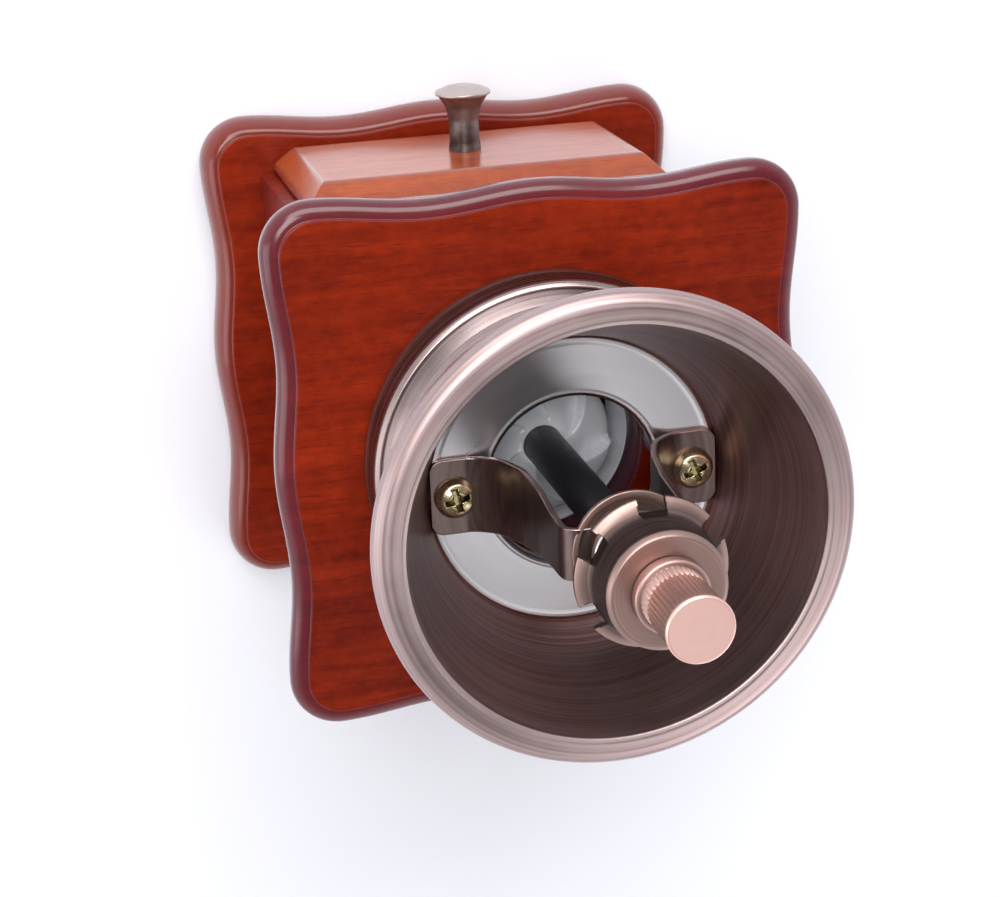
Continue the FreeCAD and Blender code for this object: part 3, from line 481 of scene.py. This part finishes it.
def plate(name, node, bore, widest, material):
    """A waved plate: rounded lower edge, quarter round above its widest level, small step and flat face."""
    half = high(node)[0]
    floor, top = low(node)[2], high(node)[2]
    shoulder = top - EDGE_STEP
    rise = shoulder - floor
    under_inset, under_steps, upper_steps = 2.8, 8, 12
    # The tones mark the round edges, the step and the bore wall; there the wood takes its edge colour, a
    # painted reflection and shade.
    levels = [(under_inset, floor, 0.9)]
    for step in range(1, under_steps + 1):
        angle = math.pi / 2 * step / under_steps
        height = floor + rise * widest * (1 - math.cos(angle))
        levels.append((under_inset * (1 - math.sin(angle)), height, 1.0))
    for step in range(1, upper_steps + 1):
        angle = math.pi / 2 * step / upper_steps
        height = floor + rise * (widest + (1 - widest) * math.sin(angle))
        levels.append((EDGE_ROUND * (1 - math.cos(angle)), height, 1.0 - 0.3 * step / upper_steps))
    border = EDGE_ROUND + 0.2
    levels += [(border, shoulder, 0.9), (border + 0.05, top - 0.15, 0.45), (border + 0.2, top, 0.1),
               (border + 0.6, top, 0.0)]
    outlines = [(wavy_outline(half, inset, height), tone) for inset, height, tone in levels]
    holes = None
    if bore:
        angles = [math.atan2(point[1], point[0]) for point in outlines[0][0]]
        holes = []
        for wider, height, tone in ((1.0, floor, 1.0), (0.0, floor + 1.0, 1.0), (0.0, top - 0.8, 1.0),
                                    (0.8, top, 1.0), (1.6, top, 0.0)):
            reach = bore + wider
            holes.append(([(reach * math.cos(a), reach * math.sin(a), height) for a in angles], tone))
    verts, faces, tones = stacked(outlines, holes)
    finish_piece(name, verts, faces, tones, material, "case", (node,))


plate("base_board", "base_plate", None, 0.36, WOOD_BASE)
plate("top_board", "top_plate", THROAT_RADIUS, 0.66, WOOD_X)


def board(name, node, material, body, axis, soft=0.6):
    """A board with softened edges, lofted along its thin axis."""
    lower, upper = low(node), high(node)
    flat = [index for index in range(3) if index != axis]
    middle = [(lower[index] + upper[index]) / 2 for index in range(3)]
    half = [(upper[index] - lower[index]) / 2 for index in range(3)]
    outlines = []
    for inset, level in ((soft, -1), (0.3 * soft, -1), (0.0, -1), (0.0, 1), (0.3 * soft, 1), (soft, 1)):
        depth = half[axis] - (soft if inset == 0.0 else 0.3 * soft if inset < soft else 0.0)
        points = []
        for u, w in rounded_rectangle(half[flat[0]] - inset, half[flat[1]] - inset, soft):
            point = list(middle)
            point[flat[0]] += u
            point[flat[1]] += w
            point[axis] += level * depth
            points.append(tuple(point))
        # the softened edges get a higher tone: on lacquered boards, painted reflection and shade in the edge
        # colour
        outlines.append((points if axis != 1 else points[::-1], 0.5 if inset else 0.2))
    verts, faces, tones = stacked(outlines)
    finish_piece(name, verts, faces, tones, material, body, (node,))


board("left_board", "left_wall", WOOD_Y, "case", 0)
board("right_board", "right_wall", WOOD_Y, "case", 0)
board("back_board", "back_wall", WOOD_X, "case", 1, 0.3)
board("front_board", "front_panel", WOOD_X, "case", 1, 0.3)

# ---------------------------------------------------------------------- drawer


def drawer_front():
    """A raised panel: upright edge, wide bevel and flat face, every arris softened."""
    lower, upper = low("drawer_front"), high("drawer_front")
    middle_z = (lower[2] + upper[2]) / 2
    half_wide = upper[0]
    half_high = (upper[2] - lower[2]) / 2
    back, face = upper[1], lower[1]
    bevel = 4.5
    shoulder = face + bevel
    # The tones paint the arrises with the front's edge colour, a painted reflection and shade.
    levels = [(0.4, back, 0.2), (0.0, back - 0.4, 0.2), (0.0, shoulder + 0.5, 0.7),
              (0.12, shoulder + 0.12, 1.0), (0.5, shoulder - 0.4, 0.5), (0.9, shoulder - 0.8, 0.0),
              (bevel - 0.9, face + 0.9, 0.0), (bevel - 0.3, face + 0.33, 0.6),
              (bevel + 0.15, face + 0.05, 0.8), (bevel + 0.7, face, 0.2), (bevel + 2.0, face, 0.0)]
    outlines = []
    for inset, y, tone in levels:
        corner = max(0.25, 0.9 - inset)
        points = [(u, y, middle_z + w)
                  for u, w in rounded_rectangle(half_wide - inset, half_high - inset, corner)]
        outlines.append((points, tone))
    verts, faces, tones = stacked(outlines)
    faces = [tuple(reversed(face)) for face in faces]
    finish_piece("drawer_panel", verts, faces, tones, WOOD_FRONT, "drawer",
                 ("drawer_front",))


drawer_front()
board("drawer_left_board", "drawer_left_side", INNER_WOOD_Y, "drawer", 0, 0.5)
board("drawer_right_board", "drawer_right_side", INNER_WOOD_Y, "drawer", 0, 0.5)
board("drawer_back_board", "drawer_back", INNER_WOOD_X, "drawer", 1, 0.3)
board("drawer_floor_board", "drawer_bottom", INNER_WOOD_Y, "drawer", 2, 0.2)


def drawer_knob():
    """A trumpet knob with a thin rim and a domed end, its axis along -Y."""
    # The head and rim have a high tone: their pale colour is wear and also a painted reflection.
    corners = [(0.0, 0.0, 0, 0.0), (3.7, 0.0, 0.1, 0.2), (3.7, 0.7, 0.3, 0.1), (3.5, 2.0, 1.0, 0.0),
               (3.4, 7.2, 4.0, 0.0), (4.1, 10.2, 4.0, 0.0), (5.6, 12.5, 1.2, 0.1), (6.35, 13.0, 0.3, 1.0),
               (6.35, 13.45, 0.3, 1.0), (5.9, 13.8, 0.5, 0.9), (4.0, 14.6, 3.0, 0.85), (2.0, 15.0, 2.0, 0.85),
               (0.0, 15.0, 0, 0.85)]
    verts, faces, tones = turned(softened(corners), SMALL_SEGMENTS)
    foot = high("drawer_knob")[1]
    middle = (low("drawer_knob")[2] + high("drawer_knob")[2]) / 2
    verts = [(x, foot - z, middle + y) for x, y, z in verts]
    finish_piece("knob", verts, faces, tones, BRONZE, "drawer", ("drawer_knob",))


drawer_knob()

# ---------------------------------------------------------------------- hopper


def hopper():
    """Collar, bowl and floor, spun from sheet."""
    base = TOP_FACE
    sheet = 0.8
    inner = 21.5
    neck = high("hopper_collar")[2]
    foot = high("hopper_collar")[0]
    # The tones paint the collar's bands: a dark wall, partly oxide and partly painted shade, and a light
    # bead, shoulder and cove, painted highlights.
    lathe("collar", [
        (foot - 1.6, base, 0, 0.0), (foot - 0.7, base, 0.1, 0.0), (foot - 0.7, base + 0.7, 0.2, 0.0),
        (foot, base + 1.3, 0.6, 0.5), (foot, base + 2.6, 0.9, 0.7), (foot - 0.35, base + 3.6, 0.8, 0.15),
        (foot - 0.35, base + 8.6, 1.0, 0.08), (foot - 0.6, base + 9.9, 0.9, 0.6),
        (foot - 1.5, base + 10.5, 0.5, 0.75), (foot - 1.9, base + 10.45, 0.2, 0.1),
        (foot - 2.2, base + 10.7, 0.2, 0.4), (34.6, base + 13.0, 4.0, 0.72), (32.4, neck, 0.8, 0.4),
        (inner, neck, 0, 0.2), (inner, neck - sheet, 0, 0.1), (31.0, neck - sheet, 1.0, 0.1),
        (foot - 3.2, base + 10.0, 1.0, 0.1), (foot - 1.6, base + 8.6, 1.0, 0.1)],
        COPPER, "case", ("hopper_collar",), closed=True)
    rim = high("hopper_bowl")[2]
    outer = high("hopper_bowl")[0]
    lip = outer - 6.2
    # The tones paint the rim's crest and lip light, painted highlights, and the inner wall a middle tone,
    # patina and painted shade.
    lathe("bowl", [
        (inner, neck, 0, 0.1), (31.3, neck, 0.3, 0.5), (32.2, base + 22.0, 3.0, 0.45),
        (38.6, rim - 14.0, 12.0, 0.5), (43.0, rim - 5.0, 2.0, 0.4), (outer - 0.9, rim - 5.0, 0.8, 0.6),
        (outer, rim - 4.2, 0.8, 0.8), (outer, rim - 2.2, 2.0, 0.9), (outer - 1.9, rim - 0.75, 3.0, 0.8),
        (outer - 3.9, rim - 0.3, 1.0, 0.68), (lip + 0.9, rim, 0.9, 1.0), (lip, rim - 0.35, 0.6, 1.0),
        (lip - 0.5, rim - 1.6, 1.2, 0.75), (lip - 1.2, rim - 4.4, 4.0, 0.38),
        (lip - 4.6, rim - 14.0, 14.0, 0.48), (31.1, base + 22.2, 3.0, 0.3), (30.6, base + 20.6, 0.3, 0.0),
        (30.3, FEET_LEVEL, 0.2, 0.0), (30.3, neck + sheet, 0, 0.1), (inner, neck + sheet, 0, 0.1)],
        BOWL_COPPER, "case", ("hopper_bowl",), closed=True)
    hole = 17.7
    level = high("hopper_floor")[2]
    edge = high("hopper_floor")[0]
    # The tones paint the rolled edges light, painted highlights, and the underside dark, painted shade.
    lathe("floor_plate", [
        (hole + 0.05, level - 2.8, 0, 0.2), (hole + 0.8, level - 2.8, 0.2, 0.2),
        (hole + 0.9, level - 1.4, 0.5, 0.2), (hole + 2.0, level - sheet, 0.8, 0.2),
        (edge, level - sheet, 0, 0.2), (edge, level - 0.05, 0.3, 1.0), (edge - 0.8, level, 0.3, 0.9),
        (edge - 1.6, level - 0.1, 0.5, 0.5), (hole + 1.6, level - 0.1, 0.4, 0.5),
        (hole + 1.0, level, 0.4, 1.0), (hole + 0.1, level - 0.6, 0.5, 0.9)],
        STEEL, "case", ("hopper_floor",), closed=True)


hopper()

# ---------------------------------------------------------------------- bridge


def bridge():
    """The bent strap: feet, S-curved legs and a round dished platform."""
    sheet = BRIDGE_SHEET
    base = low("bridge")[2] + sheet / 2
    top = high("bridge")[2] - sheet / 2
    end, half_wide = 30.0, 8.0
    leg = [(21.0, base, 6.0), (16.0, base + 3.6, 9.0), (13.4, base + 11.0, 12.0), (12.4, base + 20.0, 14.0),
           (12.6, base + 30.0, 9.0), (12.6, top, 7.0), (5.6, top, 0)]
    corner, corner_steps = 2.6, 6
    waist = 0.34
    angles = [math.pi / 2 * step / corner_steps for step in range(corner_steps)]
    tip = [(end - corner * (1 - math.cos(angle)), base, 0, 0.5) for angle in angles]
    half = softened(tip + [(end - corner, base, 0, 0.5)] + [(x, z, r, 0.5) for x, z, r in leg])
    line = [(-x, z) for x, z, _ in half] + [(x, z) for x, z, _ in reversed(half)]
    outlines, tones = [], []
    section = rounded_rectangle(half_wide, sheet / 2, 0.35)
    for index, (x, z) in enumerate(line):
        before = line[max(index - 1, 0)]
        after = line[min(index + 1, len(line) - 1)]
        along = Vector((after[0] - before[0], after[1] - before[1])).normalized()
        normal = Vector((-along.y, along.x))
        from_corner = max(0.0, abs(x) - end + corner)
        taper = 1.0 - (corner - math.sqrt(max(0.0, corner ** 2 - from_corner ** 2))) / half_wide
        climb = min(1.0, max(0.0, (z - base - 8.0) / (top - base - 12.0)))
        taper *= 1.0 - waist * climb * climb * (3 - 2 * climb)
        points = [(x + normal.x * out, across * taper, z + normal.y * out) for across, out in section]
        outlines.append((points, 0.0))
        # painted highlight: the strap's edges get a high tone, its faces a low one
        tones += [1.0 if abs(across) > half_wide - 0.3 else 0.3 for across, out in section]
    verts, faces, _ = stacked(outlines)
    finish_piece("bridge_strap", verts, faces, tones, COPPER_STRAP, "case", ("bridge",))
    reach = high("bridge")[1]
    hole = 6.6
    upper = top + sheet / 2
    # The tones paint the platform's rim light, a painted highlight, and its dished middle darker, painted
    # shade.
    lathe("bridge_platform", [
        (hole, top - sheet / 2, 0, 0.3), (reach - 0.3, top - sheet / 2, 0.2, 0.5),
        (reach, top - 0.3, 0.3, 1.0), (reach, upper - 0.2, 0.3, 1.0), (reach - 0.9, upper, 0.3, 0.9),
        (reach - 1.6, upper - 0.45, 0.4, 0.3), (hole, upper - 0.45, 0, 0.25)],
        COPPER_PART, "case", closed=True)


bridge()


def bridge_screw(name, x, twist):
    """A pan head with a cross recess on a plain shank."""
    seat = FEET_LEVEL + BRIDGE_SHEET
    tip = low("bridge_screws")[2]
    radius, shank = 4.25, 2.0
    corners = [(0.0, tip, 0, 0.3), (1.6, tip, 0.2, 0.3), (shank, tip + 1.0, 0.3, 0.3), (shank, seat, 0, 0.3),
               (radius - 0.1, seat, 0.1, 0.5), (radius, seat + 0.8, 0.6, 0.8),
               (radius - 0.9, seat + 2.1, 1.2, 1.0), (1.8, seat + 2.6, 1.4, 0.8), (0.0, seat + 2.6, 0, 0.8)]
    verts, faces, tones = turned(softened(corners), SMALL_SEGMENTS)
    piece = finish_piece(name, verts, faces, tones, BRASS, "case", ("bridge_screws",),
                         crisp=False)
    verts, faces = [], []
    for arm in range(2):
        shift = 0.01 * arm  # keeps the two arms' ends off one plane
        add_block(verts, faces, math.radians(twist + 90 * arm),
                  ((seat + 0.7 + shift, -1.5, 1.5, 0.36), (seat + 3.2 + shift, -3.0, 3.0, 0.72)))
    carve(piece, verts, faces)
    piece.data.transform(Matrix.Translation((x * MM, 0, 0)))


SCREW_REACH = 25.0
bridge_screw("bridge_screw_left", -SCREW_REACH, 20)
bridge_screw("bridge_screw_right", SCREW_REACH, 12)

# --------------------------------------------------------------------- spindle


def wheel():
    """The bell-shaped adjusting wheel with six notches in its flange."""
    floor, top = low("adjusting_wheel")[2], high("adjusting_wheel")[2]
    flange = high("adjusting_wheel")[0]
    disc = 11.6
    level = TOP_FACE + 72.0
    bore = SHAFT_BORE_RADIUS
    # The tones paint the flange's edge and the disc's lip light, painted highlights, and the bell's body
    # under the flange dark, painted shade.
    corners = [(bore, floor, 0, 0.2), (7.0, floor, 0.3, 0.4), (7.0, top - 1.2, 0.3, 0.2),
               (disc - 1.6, top - 1.2, 0.5, 0.2), (disc - 1.2, top - 5.0, 1.5, 0.15),
               (disc - 0.5, level + 1.4, 1.5, 0.15), (flange - 1.6, level - 0.9, 0.5, 0.3),
               (flange, level - 1.2, 0.2, 0.8), (flange, level - 0.1, 0.5, 0.95),
               (flange - 1.0, level + 0.5, 1.0, 0.85), (flange - 2.3, level + 1.1, 1.2, 0.3),
               (disc + 0.2, level + 3.4, 2.5, 0.02), (disc - 0.45, top - 2.4, 1.5, 0.06),
               (disc, top - 1.1, 0.7, 0.7), (disc - 0.8, top - 0.1, 0.9, 0.86), (8.6, top, 1.0, 0.72),
               (bore, top, 0, 0.5)]
    piece = lathe("wheel", corners, COPPER_PART, "wheel", ("adjusting_wheel",), closed=True)
    piece.modifiers.clear()
    verts, faces = [], []
    notches, root, past_rim, half_notch = 6, 12.1, 17.0, 2.7
    for index in range(notches):
        add_block(verts, faces, math.radians(360 / notches * (index + 0.5)),
                  ((level - 3.0, root, past_rim, half_notch), (level + 3.1, root, past_rim, half_notch)))
    carve(piece, verts, faces)
    bevel = piece.modifiers.new("soft_edges", "BEVEL")
    bevel.width = 0.25 * MM
    bevel.segments = 2
    bevel.limit_method = "ANGLE"
    bevel.angle_limit = math.radians(40)
    weighted = piece.modifiers.new("weighted_normals", "WEIGHTED_NORMAL")
    weighted.weight = 80


wheel()


def small_parts():
    """Washer, nut collar, cap nut and shaft."""
    bore = SHAFT_BORE_RADIUS
    floor, top, reach = low("thrust_washer")[2], high("thrust_washer")[2], high("thrust_washer")[0]
    lathe("washer_ring", [(bore, floor, 0, 0.3), (reach, floor, 0.2, 0.5), (reach, top, 0.7, 0.95),
                          (bore, top, 0, 0.4)], STEEL, "thrust", ("thrust_washer",),
          SMALL_SEGMENTS, closed=True)
    teeth, depth = 40, 0.36
    barrel = 6.15

    def knurl(radius, height, angle):
        """Rounded ridges along the barrel, as deep as the barrel's radius allows."""
        if abs(radius - barrel) > 0.01:
            return 0.0
        return -depth * abs(math.sin(angle * teeth / 2)) ** 1.5

    floor, top, reach = low("nut_collar")[2], high("nut_collar")[2], high("nut_collar")[0]
    lathe("collar_ring", [(bore, floor, 0, 0.3), (reach, floor, 0.2, 0.5), (reach, floor + 2.2, 0.6, 0.6),
                          (barrel + 0.1, floor + 2.4, 0.2, 0.2), (barrel, floor + 2.6, 0, 0.45),
                          (barrel, top, 0, 0.45), (bore, top, 0, 0.4)],
          COPPER_NUT, "nut_seat", ("nut_collar",), teeth * 10, closed=True, swell=knurl)
    floor, top, reach = low("cap_nut")[2], high("cap_nut")[2], high("cap_nut")[0]
    lathe("knurled_nut", [(bore, floor, 0, 0.3), (barrel, floor, 0, 0.45), (barrel, top - 1.5, 0, 0.45),
                          (barrel - 0.1, top - 1.4, 0, 0.2), (reach, top - 1.1, 0.2, 0.8),
                          (reach, top - 0.35, 0.3, 1.0), (reach - 0.35, top, 0.3, 1.0), (0.0, top, 0, 0.95)],
          COPPER_NUT, "nut", ("cap_nut",), teeth * 10, swell=knurl)
    floor, top, reach = low("shaft")[2], high("shaft")[2], high("shaft")[0]
    lathe("grinding_shaft", [(0.0, floor, 0, 0.2), (reach - 0.6, floor, 0, 0.2),
                             (reach, floor + 0.6, 0.2, 0.4), (reach, top - 0.6, 0.2, 0.4),
                             (reach - 0.6, top, 0, 0.2), (0.0, top, 0, 0.2)],
          BLACK, "spindle", ("shaft",), SMALL_SEGMENTS)


small_parts()

# ----------------------------------------------------------------------- burrs


def inner_burr():
    """A ceramic cone whose top spreads into broad curved lobes between steep steps."""
    floor, top = low("inner_burr")[2], high("inner_burr")[2]
    foot, waist, bore, hub = high("inner_burr")[0], 15.8, 4.35, 5.2
    crown, dome = waist - 1.6, 0.9
    lobes, riser = 6, 0.06
    path = softened([(bore, floor, 0, 0.3), (foot, floor, 0.3, 0.5), (foot, floor + 2.0, 0.5, 0.5),
                     (waist, top - 7.0, 3.0, 0.5), (waist, top - 1.6, 1.2, 0.6),
                     (crown, top - dome, 1.0, 0.6)])
    steps = 14
    for step in range(1, steps + 1):
        part = step / steps
        path.append((crown - (crown - hub) * part, top - dome + dome * math.sin(part * math.pi / 2), 0.6))
    path.append((bore, top, 0.6))
    verts, faces, tones = turned(path, lobes * 60)
    shaped = []
    for x, y, z in verts:
        radius, angle = math.hypot(x, y), math.atan2(y, x)
        twist = (waist - radius) * 0.085 + (top - z) * 0.05
        phase = ((angle + twist) * lobes / (2 * math.pi)) % 1.0
        edge = min(1.0, phase / riser)
        sink = (1 - phase) * edge + (1 - edge) * phase / riser
        inward = min(1.0, max(0.0, (radius - 5.4) / 4.0))
        upward = min(1.0, max(0.0, (z - floor - 3.0) / 6.0))
        depth = 3.0 * inward * upward
        if z > top - 1.6 or radius > waist - 1.7:
            z -= depth * sink * (1.0 if z > top - 4.0 else 0.4)
        shaped.append((x, y, z))
    finish_piece("cone_burr", shaped, faces, tones, CERAMIC, "spindle", ("inner_burr",))


inner_burr()


def outer_burr():
    """The fixed ceramic ring with fine teeth on its inner face."""
    floor, top, reach = low("outer_burr")[2], high("outer_burr")[2], high("outer_burr")[0]
    teeth, depth, slant = 36, 0.35, 0.12

    def bite(radius, height, angle):
        """Slanted teeth on the inner face only."""
        if radius > 20.3:
            return 0.0
        return depth * abs(2 * ((angle * teeth / (2 * math.pi) + height * slant) % 1.0) - 1)

    lathe("ring_burr", [(18.9, floor, 0, 0.4), (reach, floor, 0.3, 0.5), (reach, top, 0.3, 0.6),
                        (20.4, top, 0.4, 0.7), (17.95, floor + 6.0, 2.0, 0.5)],
          CERAMIC, "case", ("outer_burr",), teeth * 10, closed=True, swell=bite)


outer_burr()

# ---------------------------------------------------------------------- spring


def spring():
    """The wire spring between the lower bush and its collar, ends closed flat."""
    wire, mean, turns, length = 0.45, 5.6, 4.5, 7.0
    floor, top = low("lower_bush")[2] - length + wire, low("lower_bush")[2] - wire
    steps, around = 260, 10
    verts, faces = [], []
    for step in range(steps + 1):
        part = step / steps
        climb = min(1.0, max(0.0, (part - 0.12) / 0.76))
        height = floor + (top - floor) * climb
        angle = 2 * math.pi * turns * part
        for side in range(around):
            turn = 2 * math.pi * side / around
            reach = mean + wire * math.cos(turn)
            verts.append((reach * math.cos(angle), reach * math.sin(angle), height + wire * math.sin(turn)))
    for step in range(steps):
        for side in range(around):
            after = (side + 1) % around
            start = step * around
            faces.append((start + side, start + around + side, start + around + after, start + after))
    faces.append(tuple(range(around)))
    faces.append(tuple(reversed(range(steps * around, steps * around + around))))
    piece = finish_piece("coil_spring", verts, faces, [0.6] * len(verts), ZINC, "case",
                         ("burr_spring",), crisp=False)
    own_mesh(piece)


spring()

# --------------------------------------------------- CAD nodes that stay as they are

KEPT = {
    "base_screws": ZINC, "bracket_screws": ZINC, "knob_screw": ZINC, "spacer_posts": ZINC, "drive_pin": ZINC,
    "lower_bracket": ZINC, "burr_nut": ZINC, "spring_collar": ZINC, "lock_nut": ZINC,
    "burr_housing": IRON, "lower_bush": BUSH, "bridge_bush": BUSH, "top_dowels": INNER_WOOD_Z,
}
for node, material in KEPT.items():
    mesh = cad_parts[node].data
    mesh.materials.clear()
    mesh.materials.append(material)

# ------------------------------------------------------- floor, lights and camera


def stage_floor():
    """A large pale floor under the base plate."""
    nodes = Nodes("pale_floor")
    haze = nodes.noise(nodes.place(), 3.0, detail=2.0)
    nodes.set(Base_Color=nodes.mixed(haze, (0.88, 0.89, 0.94), (0.91, 0.92, 0.97)), Roughness=0.6)
    size = 4.0
    corners = [(-size, -size, 0), (size, -size, 0), (size, size, 0), (-size, size, 0)]
    mesh = bpy.data.meshes.new("floor")
    mesh.from_pydata(corners, [], [(0, 1, 2, 3)])
    mesh.materials.append(nodes.material)
    floor = bpy.data.objects.new("floor", mesh)
    scene.collection.objects.link(floor)


def softbox(name, place, target, size, power):
    """A rectangular area light aimed at a point."""
    light = bpy.data.lights.new(name, "AREA")
    light.shape = "RECTANGLE"
    light.size, light.size_y = size
    light.energy = power
    box = bpy.data.objects.new(name, light)
    box.location = place
    box.rotation_euler = (Vector(target) - Vector(place)).to_track_quat("-Z", "Y").to_euler()
    scene.collection.objects.link(box)


def surroundings():
    """A room that is bright at the horizon and dimmer overhead."""
    world = bpy.data.worlds.new("studio")
    scene.world = world
    world.use_nodes = True
    tree = world.node_tree
    coords = tree.nodes.new("ShaderNodeTexCoord")
    split = tree.nodes.new("ShaderNodeSeparateXYZ")
    ramp = tree.nodes.new("ShaderNodeValToRGB")
    middle = ramp.color_ramp.elements.new(0.35)
    horizon, zenith = ramp.color_ramp.elements[0], ramp.color_ramp.elements[2]
    horizon.color = (0.97, 0.97, 1.0, 1)
    middle.color = (0.72, 0.72, 0.75, 1)
    zenith.position = 0.8
    zenith.color = (0.16, 0.16, 0.17, 1)
    tree.links.new(coords.outputs["Generated"], split.inputs[0])
    tree.links.new(split.outputs["Z"], ramp.inputs[0])
    tree.links.new(ramp.outputs[0], tree.nodes["Background"].inputs[0])
    tree.nodes["Background"].inputs[1].default_value = 1.2


def photo_camera():
    """A long lens above the drawer side, rolled so that the drawer points up in the frame."""
    target = Vector((0.0096, -0.0005, TOP_FACE * MM - 0.0025))
    azimuth, elevation = math.radians(33.74), math.radians(66.45)
    distance = 0.4868
    right = Vector((-0.96800, 0.03791, 0.24808))
    backward = Vector((math.sin(azimuth) * math.cos(elevation), -math.cos(azimuth) * math.cos(elevation),
                       math.sin(elevation)))
    upward = backward.cross(right).normalized()
    right = upward.cross(backward)
    turn = Matrix((right, upward, backward)).transposed().to_4x4()
    data = bpy.data.cameras.new("camera")
    data.lens = 83.0
    data.sensor_width = 36.0
    data.clip_start = 0.01
    camera = bpy.data.objects.new("camera", data)
    camera.matrix_world = Matrix.Translation(target + backward * distance) @ turn
    scene.collection.objects.link(camera)
    scene.camera = camera


stage_floor()
surroundings()
softbox("key", (0.05, -0.95, 1.05), (0, 0, 0.1), (1.1, 0.7), 12.5)
softbox("top", (0.35, -0.35, 1.2), (0, 0, 0.1), (0.5, 0.5), 5.5)
softbox("side", (1.0, 0.1, 0.5), (0, 0, 0.1), (0.5, 0.9), 2.5)
softbox("back", (-0.65, 0.8, 0.5), (0, 0, 0.1), (0.8, 0.7), 3.2)
softbox("overhead", (-0.11, 0.165, 0.60), (0, 0, 0.11), (0.11, 0.11), 0.085)
photo_camera()
